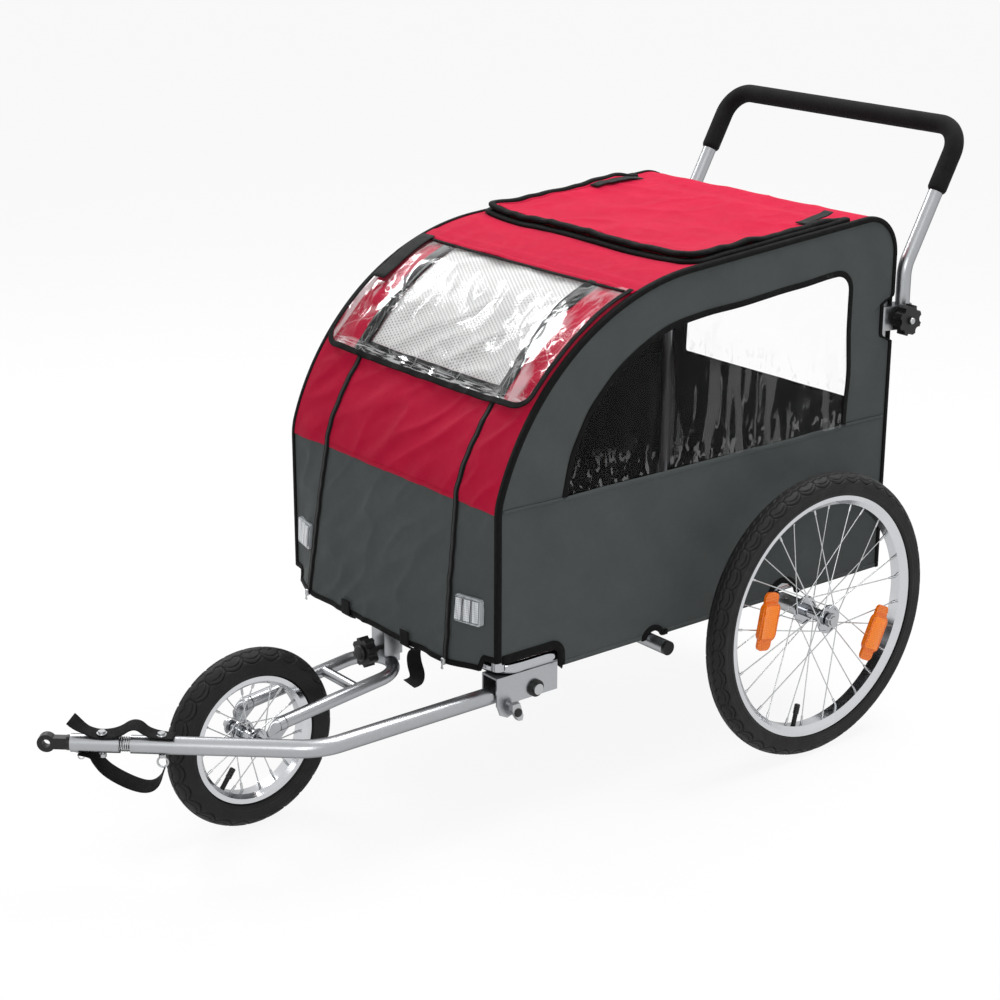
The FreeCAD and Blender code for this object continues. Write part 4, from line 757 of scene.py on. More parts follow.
def mottle_effect() -> bpy.types.NodeTree:
    """A colour that is lighter and darker in patches.

    Returns:
        The effect's group.
    """
    bench = Effect("mottle", {"Color": "Color", "Scale": "Float", "Depth": "Float"},
                   {"Color": "Color"})
    scale = bench.takes["Scale"]
    fine = bench.noise(bench.math("MULTIPLY", scale, 34.0), 2.0)
    both = bench.math("MULTIPLY_ADD", fine, 0.7, bench.noise(scale, 5.0, 0.62))
    swing = bench.math("MULTIPLY", bench.math("SUBTRACT", both, 0.85), bench.takes["Depth"])
    tint = bench.add("HueSaturation", {"Value": bench.math("ADD", swing, 1.0),
                                       "Color": bench.takes["Color"]})
    return bench.give(Color=tint.outputs[0])


def grain_effect() -> bpy.types.NodeTree:
    """Fine moulded grain: Height from 0 to 1."""
    bench = Effect("grain", {"Scale": "Float"}, {"Height": "Float"})
    return bench.give(Height=bench.noise(bench.takes["Scale"], 3.0, 0.6))


def wear_effect() -> bpy.types.NodeTree:
    """Handling marks: Roughness between two values, with faint scuffs.

    Returns:
        The effect's group.
    """
    bench = Effect("wear", {"Scale": "Float", "Low": "Float", "High": "Float"},
                   {"Roughness": "Float"})
    low, high = bench.takes["Low"], bench.takes["High"]
    mask = bench.ramp(bench.noise(bench.takes["Scale"], 8.0, 0.7, 0.6), 0.32, 0.7)
    span = bench.math("SUBTRACT", high, low)
    return bench.give(Roughness=bench.math("MULTIPLY_ADD", mask, span, low))


def crumple_effect() -> bpy.types.NodeTree:
    """Creased film: Height, and the soft Lump under its creases.

    Returns:
        The effect's group.
    """
    bench = Effect("crumple", {"Scale": "Float"}, {"Height": "Float", "Lump": "Float"})
    lumps = bench.noise(bench.takes["Scale"], 0.7, 0.45, 0.9)
    ridge = bench.math("ABSOLUTE", bench.math("SUBTRACT", lumps, 0.5))
    sharp = bench.ramp(ridge, 0.0, 0.05, 1.0, 0.0)
    return bench.give(Height=bench.math("MULTIPLY_ADD", sharp, 0.12, lumps), Lump=lumps)


WEAVE = weave_effect()
MOTTLE = mottle_effect()
GRAIN = grain_effect()
WEAR = wear_effect()
CRUMPLE = crumple_effect()


class Coordinate(Enum):
    """Where a finish reads its pattern."""

    UV = "UV"
    OBJECT = "Object"


class Skin(NodeBench):
    """A material in the making: its nodes, its pattern's coordinates and its shader."""

    def __init__(self, name: str, source: Coordinate) -> None:
        """Starts the material.

        Args:
            name: the finish's name.
            source: the coordinates that its patterns follow.
        """
        self.made = bpy.data.materials.new(name)
        self.made.use_nodes = True
        super().__init__(self.made.node_tree)
        self.spots = self.add("TexCoord").outputs[source.value]
        self.shader = self.add("BsdfPrincipled")
        self.add("OutputMaterial", {"Surface": self.shader.outputs[0]})

    def effect(self, group: bpy.types.NodeTree, **inputs: Value) -> bpy.types.bpy_prop_collection:
        """Places a shared effect on the pattern's coordinates and returns its outputs."""
        return self.add("Group", {"Map": self.spots, **inputs}, node_tree=group).outputs

    def mottle(self, colour: Triple, scale: float, depth: float) -> Socket:
        """An uneven colour."""
        return self.effect(MOTTLE, Color=(*colour, 1.0), Scale=scale, Depth=depth)[0]

    def grain(self, scale: float) -> Socket:
        """The height of a fine grain."""
        return self.effect(GRAIN, Scale=scale)[0]

    def wear(self, scale: float, low: float, high: float) -> Socket:
        """A roughness with handling marks."""
        return self.effect(WEAR, Scale=scale, Low=low, High=high)[0]

    def bump(self, height: Socket, strength: float, distance: float) -> Socket:
        """A normal that follows a height."""
        return self.add("Bump", {"Height": height, "Strength": strength,
                                 "Distance": distance}).outputs[0]

    def dress(self, inputs: dict[str, Value]) -> Mat:
        """Feeds the shader and hands over the material."""
        self.feed(self.shader, inputs)
        return self.made


@dataclass(frozen=True)
class Cloth:
    """Coated polyester: a fine weave with slightly uneven colour."""

    name: str
    colour: Triple
    gloss: float = 0.16
    sheen: float = 0.05
    pitch: float = 0.0014
    depth: float = 0.26

    def make(self) -> Mat:
        """Makes the finish.

        Returns:
            The cloth's material.
        """
        skin = Skin(self.name, Coordinate.UV)
        weave = skin.effect(WEAVE, Pitch=self.pitch)[0]
        height = skin.math("MULTIPLY_ADD", skin.grain(420.0), 0.9, weave)
        return skin.dress({"Base Color": skin.mottle(self.colour, 14.0, self.depth),
                           "Roughness": skin.wear(60.0, 0.68, 0.88),
                           "Normal": skin.bump(height, 0.35, 0.0006),
                           "Sheen Weight": self.sheen, "Sheen Roughness": 0.45,
                           "Specular IOR Level": self.gloss})


@dataclass(frozen=True)
class Webbing:
    """Woven tape with ribs across its length."""

    name: str
    colour: Triple
    rib: float = 0.0022

    def make(self) -> Mat:
        """Makes the finish.

        Returns:
            The tape's material.
        """
        skin = Skin(self.name, Coordinate.UV)
        ribs = skin.effect(WEAVE, Pitch=self.rib)[0]
        return skin.dress({"Base Color": skin.mottle(self.colour, 40.0, 0.5),
                           "Roughness": skin.wear(90.0, 0.55, 0.8),
                           "Normal": skin.bump(ribs, 0.7, 0.0007),
                           "Specular IOR Level": 0.10})


@dataclass(frozen=True)
class PaintedGleam:
    """One kind of painted highlight on clear film, placed where its folds would catch the light.

    Args:
        stretch: folds per metre across and along the film.
        level: the noise between which it brightens, or its middle and width for an outline.
        share: how much painted reflection it adds, as mirror-like opacity.
        across: distances from the map's middle between which it fades in.
        along: places along the map between which it fades in.
        outline: whether the painted highlight is only a thin line round the fold.
    """

    stretch: Pair
    level: Pair
    share: float
    across: Optional[Pair] = None
    along: Optional[Pair] = None
    outline: bool = False

    def mask(self, skin: Skin) -> Socket:
        """Adds the painted highlight's nodes.

        Args:
            skin: the film's material.

        Returns:
            The opacity of the painted reflection that it adds.
        """
        drawn = skin.add("Mapping", {"Vector": skin.spots, "Scale": (*self.stretch, 1.0)})
        lump = skin.effect(CRUMPLE, Map=drawn.outputs[0], Scale=1.0)["Lump"]
        low, high = self.level
        if self.outline:
            lump = skin.math("ABSOLUTE", skin.math("SUBTRACT", lump, low))
            low, high = high, 0.0
        share = skin.ramp(lump, low, high, 0.0, self.share)
        axes = skin.add("SeparateXYZ", {0: skin.spots}).outputs
        for axis, limits in ((skin.math("ABSOLUTE", axes[0]), self.across), (axes[1], self.along)):
            if limits:
                share = skin.math("MULTIPLY", share, skin.ramp(axis, *limits))
        return share


# Painted highlights and streaks: fixed patches where the window film and the rain flap reflect fully,
# standing in for lamp reflections on their folds.
WINDOW_PAINTED_GLEAMS = (PaintedGleam((44.0, 5.0), (0.53, 0.57), 0.060, (0.10, 0.22), (0.74, 0.68)),
                 PaintedGleam((44.0, 5.0), (0.53, 0.014), 0.130, (0.10, 0.22), (0.74, 0.68), True),
                 PaintedGleam((80.0, 42.0), (0.60, 0.63), 0.110, None, (0.61, 0.56)))
FLAP_PAINTED_GLEAMS = (PaintedGleam((13.0, 10.0), (0.57, 0.013), 0.26, outline=True),
               PaintedGleam((9.0, 16.0), (0.44, 0.008), 0.16, outline=True),
               PaintedGleam((34.0, 9.0), (0.50, 0.68), 0.34, (0.165, 0.195)),
               PaintedGleam((60.0, 14.0), (0.50, 0.022), 0.26, (0.150, 0.175), None, True),
               PaintedGleam((26.0, 240.0), (0.44, 0.60), 0.42, None, (0.619, 0.609)),
               PaintedGleam((125.0, 16.0), (0.59, 0.66), 0.14, None, (0.845, 0.885)))


@dataclass(frozen=True)
class Film:
    """Clear vinyl: see-through and glossy, with a bump for its folds and painted highlights where they
    would catch the light.
    """

    name: str
    crease: float
    depth: float
    painted_gleams: tuple[PaintedGleam, ...]

    def make(self) -> Mat:
        """Makes the finish.

        Returns:
            The film's material.
        """
        skin = Skin(self.name, Coordinate.UV)
        bump = skin.bump(skin.effect(CRUMPLE, Scale=self.crease)["Height"], 0.5, self.depth)
        facing = skin.add("LayerWeight", {"Blend": 0.5, "Normal": bump}).outputs["Facing"]
        gloss = skin.math("MULTIPLY_ADD", skin.math("POWER", facing, 5.0), 0.95, 0.008)
        # Painted highlights: noise patches raise the mirror-like opacity, so the film shows white
        # reflections there from any view.
        painted_gleam = self.painted_gleams[0].mask(skin)
        for gleam in self.painted_gleams[1:]:
            painted_gleam = skin.math("MAXIMUM", painted_gleam, gleam.mask(skin))
        return skin.dress({"Base Color": (0.95, 0.96, 0.97, 1.0), "Metallic": 0.9,
                           "Roughness": skin.wear(30.0, 0.07, 0.16), "Normal": bump,
                           "Alpha": skin.math("MINIMUM", skin.math("ADD", gloss, painted_gleam), 1.0)})


@dataclass(frozen=True)
class Net:
    """Knitted fly mesh with small holes in staggered rows, the holes painted grey as painted shade of
    the inside seen through them.
    """

    name: str
    colour: Triple
    hole_shade: Triple = (0.26, 0.265, 0.265)
    pitch: float = 0.0056

    def make(self) -> Mat:
        """Makes the finish.

        Returns:
            The net's material.
        """
        skin = Skin(self.name, Coordinate.UV)
        waves: Value = 0.0
        for turn in (0.0, 60.0, 120.0):
            way = (*polar((0.0, 0.0), 2.0 * math.pi / self.pitch, turn), 0.0)
            run = skin.add("VectorMath", {0: skin.spots, 1: way}, operation="DOT_PRODUCT")
            waves = skin.math("ADD", waves, skin.math("COSINE", run.outputs["Value"]))
        thread = skin.ramp(waves, 1.9, 0.7)
        # Painted shade: the holes are grey and mostly opaque, standing for the dark inside behind the
        # net.
        tone = skin.mix(thread, (*self.hole_shade, 1.0), skin.mottle(self.colour, 30.0, 0.12))
        return skin.dress({"Base Color": tone, "Normal": skin.bump(thread, 0.5, 0.0008),
                           "Alpha": skin.math("MULTIPLY_ADD", thread, 0.16, 0.84),
                           "Roughness": 0.7})


@dataclass(frozen=True)
class Metal:
    """Bare or plated metal with handling marks, and its own tint at a grazing angle."""

    name: str
    colour: Triple
    low: float
    high: float
    scale: float = 35.0
    grain: float = 0.0
    edge: float = 0.25

    def make(self) -> Mat:
        """Makes the finish.

        Returns:
            The metal's material.
        """
        skin = Skin(self.name, Coordinate.OBJECT)
        return skin.dress({"Base Color": skin.mottle(self.colour, self.scale / 3.0, 0.16),
                           "Roughness": skin.wear(self.scale, self.low, self.high),
                           "Normal": skin.bump(skin.grain(900.0), 0.03 + self.grain, 0.0003),
                           "Metallic": 1.0,
                           "Specular Tint": (self.edge, self.edge, self.edge, 1.0)})


@dataclass(frozen=True)
class Moulded:
    """Plastic, rubber or foam: a grained surface with a dusty, uneven tone."""

    name: str
    colour: Triple
    low: float
    high: float
    grain: float
    strength: float = 0.3
    dust: float = 0.35
    distance: float = 0.0005
    gloss: float = 0.3

    def make(self) -> Mat:
        """Makes the finish.

        Returns:
            The moulding's material.
        """
        skin = Skin(self.name, Coordinate.OBJECT)
        pits = skin.grain(self.grain)
        return skin.dress({"Base Color": skin.mottle(self.colour, 22.0, self.dust),
                           "Roughness": skin.wear(28.0, self.low, self.high),
                           "Normal": skin.bump(pits, self.strength, self.distance),
                           "Specular IOR Level": self.gloss})


@dataclass(frozen=True)
class Prism:
    """Reflector plastic: small corner prisms under a glossy face, with a painted glow where glow is set.
    """

    name: str
    colour: Triple
    dark: Triple
    pitch: float = 0.004
    glow: float = 0.0

    def make(self) -> Mat:
        """Makes the finish.

        Returns:
            The reflector's material.
        """
        skin = Skin(self.name, Coordinate.OBJECT)
        cells = skin.add("TexVoronoi", {"Vector": skin.spots, "Scale": 1.0 / self.pitch,
                                        "Randomness": 0.0}, feature="F1").outputs["Distance"]
        tone = skin.mix(skin.ramp(cells, 0.1, 0.75), (*self.colour, 1.0), (*self.dark, 1.0))
        # Painted glow: the reflector's colour is also emitted, though it is no lamp.
        return skin.dress({"Base Color": tone, "Emission Color": tone,
                           "Emission Strength": self.glow,
                           "Roughness": skin.wear(60.0, 0.08, 0.25),
                           "Normal": skin.bump(cells, 0.5, 0.0012), "Specular IOR Level": 0.3,
                           "Coat Weight": 0.12, "Coat Roughness": 0.05})


class Finishes:
    """Every finish of the trailer."""

    def __init__(self) -> None:
        """Makes the materials."""
        self.red = Cloth("red_polyester", (0.425, 0.0038, 0.0335), sheen=0.04, gloss=0.09).make()
        self.grey = Cloth("grey_polyester", (0.061, 0.069, 0.069)).make()
        self.lining = Cloth("dark_lining", (0.011, 0.0115, 0.012), gloss=0.08).make()
        self.tape = Webbing("black_binding", (0.0032, 0.0032, 0.0036)).make()
        self.border = Cloth("dark_border", (0.014, 0.0145, 0.015), gloss=0.10).make()
        self.strap = Webbing("black_webbing_ribs", (0.0055, 0.0055, 0.006), 0.003).make()
        self.film = Film("clear_window", 7.0, 0.0015, WINDOW_PAINTED_GLEAMS).make()
        self.flap = Film("clear_flap_film", 12.0, 0.0025, FLAP_PAINTED_GLEAMS).make()
        self.net = Net("white_net", (0.66, 0.66, 0.655)).make()
        self.silver = Metal("silver_tube_finish", (0.40, 0.41, 0.425), 0.28, 0.36, 16.0).make()
        self.chrome = Metal("bright_frame_tube", (0.44, 0.45, 0.47), 0.07, 0.14, 16.0,
                            edge=0.0).make()
        self.zinc = Metal("zinc_plate", (0.46, 0.47, 0.48), 0.25, 0.42, 60.0, 0.04).make()
        self.alloy = Metal("polished_rim", (0.60, 0.61, 0.63), 0.12, 0.22, 30.0, edge=0.5).make()
        self.spoke = Metal("spoke_wire", (0.56, 0.57, 0.58), 0.22, 0.34, 60.0, edge=0.6).make()
        self.tyre = Moulded("tyre_rubber_finish", (0.0080, 0.0080, 0.0085), 0.5, 0.72, 700.0,
                            gloss=0.26).make()
        self.plastic = Moulded("black_moulding", (0.007, 0.007, 0.0075), 0.36, 0.55, 900.0,
                               gloss=0.34).make()
        self.foam = Moulded("foam_sleeve", (0.0055, 0.0055, 0.006), 0.8, 0.95, 620.0, 0.8, 0.5,
                            0.0012, 0.16).make()
        self.board = Moulded("floor_board_finish", (0.012, 0.012, 0.013), 0.6, 0.8, 300.0).make()
        self.clear = Prism("clear_frame", (0.62, 0.64, 0.66), (0.30, 0.32, 0.34), 0.003).make()
        self.lens = Prism("clear_prism", (0.84, 0.86, 0.88), (0.40, 0.42, 0.44), 0.0036).make()
        # The amber reflectors' last value is a painted glow.
        self.amber = Prism("amber_clip", (0.84, 0.19, 0.003), (0.62, 0.11, 0.002), 0.005,
                           0.09).make()
        self.amber_lens = Prism("amber_prism", (0.95, 0.26, 0.004), (0.70, 0.14, 0.003), 0.004,
                                0.14).make()


# Cloth cover


def front_spot(y: float, reach: float, lift: float = 0.0) -> Vector:
    """A point on the front of the cover, with the belly over the rail and the slack above it.

    Args:
        y: distance from the middle.
        reach: distance from the front hem.
        lift: distance out from the cloth.

    Returns:
        The point in the part's frame.
    """
    point, normal = COVER.at(reach)
    low = max(0.0, (SIZE.shoulder - point.z) / (SIZE.shoulder - SIZE.hem))
    fade = 1.0 - ease(abs(y), SIZE.door, SIZE.band)
    point.x += SIZE.bulge * low * fade
    slack = 0.017 * math.exp(-((point.z - 0.700) / 0.095) ** 2) * (1.0 - ease(abs(y), 0.10, 0.27))
    return point + ACROSS * y + normal * (lift - slack)


def zip_line(z: float) -> float:
    """Half distance between the two front zips at a height."""
    low = min(1.0, max(0.0, (SIZE.seam - z) / (SIZE.seam - SIZE.hem)))
    return SIZE.door + (SIZE.door_foot - SIZE.door) * low


def front_ripple(y: float, reach: float) -> float:
    """Soft folds of the front cloth: diagonal pulls, lumps and puckers beside the zips.

    Args:
        y: distance from the middle.
        reach: distance along the cover.

    Returns:
        How far the cloth stands out.
    """
    edge = 1.0 - ease(abs(y), 0.245, 0.277)
    diagonal = fold((y + reach) * 0.6, (y - reach) * 1.9, 0.085, 3.0)
    lump = fold(y, reach, 0.11, 5.0)
    z = COVER.at(reach)[0].z
    near = math.exp(-((abs(y) - zip_line(z)) / 0.022) ** 2)
    pucker = math.sin(reach * 2.0 * math.pi / 0.036) * near
    pull = crease((y + reach) * 0.55, (y - reach) * 1.5, 0.10, 7.0)
    calm = 1.0 - 0.7 * near
    return edge * (calm * (0.0026 * diagonal + 0.0024 * lump + 0.0030 * pull) + 0.0004 * pucker)


def on_front(y: float, reach: float, lift: float = 0.0) -> Vector:
    """A point on the front cloth with its folds; see front_spot."""
    return front_spot(y, reach, front_ripple(y, reach) + lift)


def corner_rise(y: float) -> float:
    """Height of a strip's lower edge over the front hem, at the notch in its corner."""
    rise = SIZE.notch_top - SIZE.hem
    return rise * ease(y, SIZE.corner_notch - 0.004, SIZE.corner_notch + 0.010)


def out_at(reach: float) -> Vector:
    """Direction out of the cover."""
    return COVER.at(reach)[1]


def side_map(point: Vector) -> Pair:
    """A side wall's cloth map."""
    return point.x, point.z


def front_map(point: Vector) -> Pair:
    """The front's cloth map."""
    return point.y, point.z


def edge_spot(reach: float) -> Vector:
    """Finds the cover's edge, which steps in at the handle clamp's cut-out.

    Args:
        reach: distance along the cover.

    Returns:
        The point at y = 0 in the part's frame.
    """
    point, normal = COVER.at(reach)
    step = 0.026 * ease(point.z, 0.674, 0.688) * (1.0 - ease(point.z, 0.742, 0.756))
    return point - normal * step if reach >= BACK_REACH else point


BINDING: list[Pair] = [(0.0020, -0.0066), (0.0024, -0.0026), (0.0020, 0.0010), (0.0008, 0.0022),
                       (-0.0028, 0.0024), (-0.0064, 0.0020), (-0.0064, 0.0002), (-0.0012, 0.0001),
                       (0.0001, -0.0012), (0.0002, -0.0066)]


@dataclass
class SideWall:
    """One side of the cover: an upper frame round the window, a skirt below, film and bindings."""

    side: Side
    finish: Finishes
    skirt_low: float = SIZE.hem
    stub: Pair = (0.300, 0.021)
    axle: Pair = (0.0, 0.035)
    skirt_top: float = 0.541
    notch_x: float = 0.497
    notch_round: float = 0.020
    window_tape: Pair = (0.0105, 0.0026)
    hem_roll: Pair = (0.008, 0.0022)
    piping: Pair = (0.0105, 0.0062)
    notch_piping: Pair = (0.0150, 0.0062)
    waist_seam: Pair = (0.005, 0.0018)
    beside: float = 0.010

    def wall(self, x: float, z: float, lift: float = 0.0) -> Vector:
        """A point on the wall with its soft folds.

        Args:
            x: distance ahead of the axle.
            z: height over the ground.
            lift: distance out from the cloth.

        Returns:
            The point in the part's frame.
        """
        inner = ease(z, 0.27, 0.33) * (1.0 - ease(x, 0.54, 0.62)) * ease(x, -0.235, -0.17)
        ripple = 0.0055 * fold(x, z, 0.16, 1.0 + self.side.value)
        pull = 0.0030 * fold((x + z) * 0.5, x - z, 0.08, 9.0 + self.side.value)
        y = SIZE.half + lift + inner * (ripple + pull)
        return on_axle(x, self.side.value * y, z)

    def hem(self, x: float) -> float:
        """Finds the skirt's lower edge, with its cut-outs.

        Args:
            x: distance ahead of the axle.

        Returns:
            The height over the ground.
        """
        z = self.skirt_low
        for middle, radius in (self.stub, self.axle):
            if abs(x - middle) < radius:
                z = max(z, AXLE_Z + math.sqrt(radius ** 2 - (x - middle) ** 2))
        if x > self.notch_x:
            run = min(self.notch_round, x - self.notch_x)
            drop = self.notch_round - math.sqrt(self.notch_round ** 2 - (self.notch_round - run) ** 2)
            z = max(z, SIZE.notch_top - drop)
        return z

    def columns(self) -> list[float]:
        """Divides the skirt into columns.

        Returns:
            Distances ahead of the axle, closer together at the cut-outs.
        """
        xs = set(spread(SIZE.rear, SIZE.front, 96))
        for middle, radius in (self.stub, self.axle):
            xs.update(middle + radius * math.cos(math.pi * i / 14) for i in range(15))
        xs.update(self.notch_x + self.notch_round * (1.0 - math.cos(math.pi / 2 * i / 7))
                  for i in range(8))
        xs.add(self.notch_x - 0.0005)
        ordered = sorted(xs)
        return [x for i, x in enumerate(ordered) if i == 0 or x - ordered[i - 1] > 0.0003]

    def build(self) -> None:
        """Builds and dresses the wall's pieces."""
        skirt = lay_cloth(f"{self.side.word}_skirt", spread(0.0, 1.0, 46), self.columns(),
                          lambda u, x: self.wall(x, self.hem(x) + (self.skirt_top - self.hem(x)) * u),
                          chart=side_map, flip=self.side.flip)
        hang(skirt, self.finish.grey,
             lining=self.finish.lining)
        self._upper()
        self._film()
        self._bindings()

    def _upper(self) -> None:
        """The cloth frame round the window."""
        start, end = SEAM_REACH, COVER.length - (SIZE.seam - SIZE.hem)

        def place(u: float, t: float) -> Vector:
            """A point between the cover's edge and the window's edge.

            Args:
                u: share of the way in from the cover's edge.
                t: share of the way along it.

            Returns:
                The point in the part's frame.
            """
            reach = start + (end - start) * t
            spot = edge_spot(reach).lerp(WINDOW.at(WINDOW.length * t)[0], u)
            return self.wall(spot.x - AXLE_X, spot.z)

        word = self.side.word
        upper = lay_cloth(f"{word}_window_frame", spread(0.0, 1.0, 15), spread(0.0, 1.0, 190),
                          place, chart=side_map, flip=self.side.flip)
        hang(upper, self.finish.grey,
             nodes=[f"{word}_side_panel"], lining=self.finish.lining)

    def window_top(self, x: float) -> float:
        """Finds the window's upper edge.

        Args:
            x: distance ahead of the axle.

        Returns:
            The height over the ground.
        """
        crown = polar(WINDOW_ARCH, WINDOW_RADIUS, SIZE.high_turn)
        if x > crown[0]:
            return WINDOW_ARCH[1] + math.sqrt(
                max(0.0, WINDOW_RADIUS ** 2 - (x - WINDOW_ARCH[0]) ** 2))
        corner = polar(WINDOW_CORNER, WINDOW_CORNER_RADIUS, SIZE.high_turn)
        if x > corner[0]:
            return crown[1] + (crown[0] - x) * math.tan(math.radians(90.0 - SIZE.high_turn))
        run = min(WINDOW_CORNER_RADIUS, WINDOW_CORNER[0] - x)
        return WINDOW_CORNER[1] + math.sqrt(WINDOW_CORNER_RADIUS ** 2 - max(0.0, run) ** 2)

    def _film(self) -> None:
        """The clear window, slack and creased behind the cloth frame."""
        front = WINDOW.at(0.0)[0].x - AXLE_X
        xs = [(front + WINDOW_REAR) / 2 - (front - WINDOW_REAR) / 2 * math.cos(math.pi * t)
              for t in spread(0.0, 1.0, 110)]

        def place(u: float, x: float) -> Vector:
            """A point on the film, a little inside the frame.

            Args:
                u: share of its height.
                x: distance ahead of the axle.

            Returns:
                The point in the part's frame.
            """
            low, high = WINDOW_LOW - 0.004, self.window_top(x) + 0.003
            z = low + (high - low) * u
            edge = min(1.0, 6.0 * u, 6.0 * (1.0 - u), (x - WINDOW_REAR) / 0.03,
                       (front - x) / 0.03)
            droop = 0.6 * fold(x * 1.4, z * 0.5, 0.055, 13.0) + 0.5 * fold(x, z, 0.03, 17.0)
            return on_axle(x, self.side.value * (SIZE.half - 0.0018 + 0.0042 * max(0.0, edge)
                                                 * droop * (0.35 + 0.65 * (1.0 - u))), z)

        word = self.side.word
        film = lay_cloth(f"{word}_window", spread(0.0, 1.0, 60), xs, place, chart=side_map,
                         flip=self.side.flip, thick=0.0)
        hang(film, self.finish.film,
             nodes=["windows"] if self.side is Side.LEFT else [])

    def _bindings(self) -> None:
        """Black tapes along the corner of the cover, the window, the hem and the waist."""
        sign, word, finish = self.side.value, self.side.word, self.finish
        outward = Vector((0.0, sign, 0.0))
        reaches = spread(SIZE.notch_top - SIZE.hem, COVER.length, 330)
        trim(f"{word}_corner_binding", [edge_spot(r) + outward * SIZE.half for r in reaches],
             [out_at(r) for r in reaches], [(-a * sign, b) for a, b in BINDING], finish.tape)
        ring = [WINDOW.at(r)[0] for r in spread(0.0, WINDOW.length, 150)]
        trim(f"{word}_window_binding", [self.wall(p.x - AXLE_X, p.z, 0.0008) for p in ring], outward,
             oval(*self.window_tape, 10, 0.6), finish.tape)
        xs = self.columns()
        line = [self.wall(x, self.hem(x) + 0.004, 0.0003) for x in xs if x < SIZE.front - 0.002]
        trim(f"{word}_hem_roll", line, outward, oval(*self.hem_roll, 8, 0.6), finish.grey)
        spans = {"notch": (self.notch_x - 0.004, SIZE.front - 0.002, self.notch_piping)}
        for label, (middle, radius) in (("stub", self.stub), ("axle", self.axle)):
            spans[label] = (middle - radius - self.beside, middle + radius + self.beside, self.piping)
        for label, (x0, x1, size) in spans.items():
            line = [self.wall(x, self.hem(x) + 0.003, 0.0010) for x in xs if x0 < x < x1]
            trim(f"{word}_{label}_piping", line, outward, oval(*size, 10, 0.8), finish.tape)
        line = [self.wall(x, WINDOW_LOW - 0.009, 0.0002) for x in spread(WINDOW_REAR, 0.494, 70)]
        settle(stitch(f"{word}_sill_stitch", line, outward), finish.grey)
        for label, x0, x1 in (("front", 0.500, SIZE.front - 0.011),
                              ("rear", SIZE.rear + 0.011, WINDOW_REAR - 0.004)):
            line = [self.wall(x, SIZE.seam, 0.0006) for x in spread(x0, x1, 24)]
            trim(f"{word}_{label}_waist_seam", line, outward, oval(*self.waist_seam, 8), finish.grey)


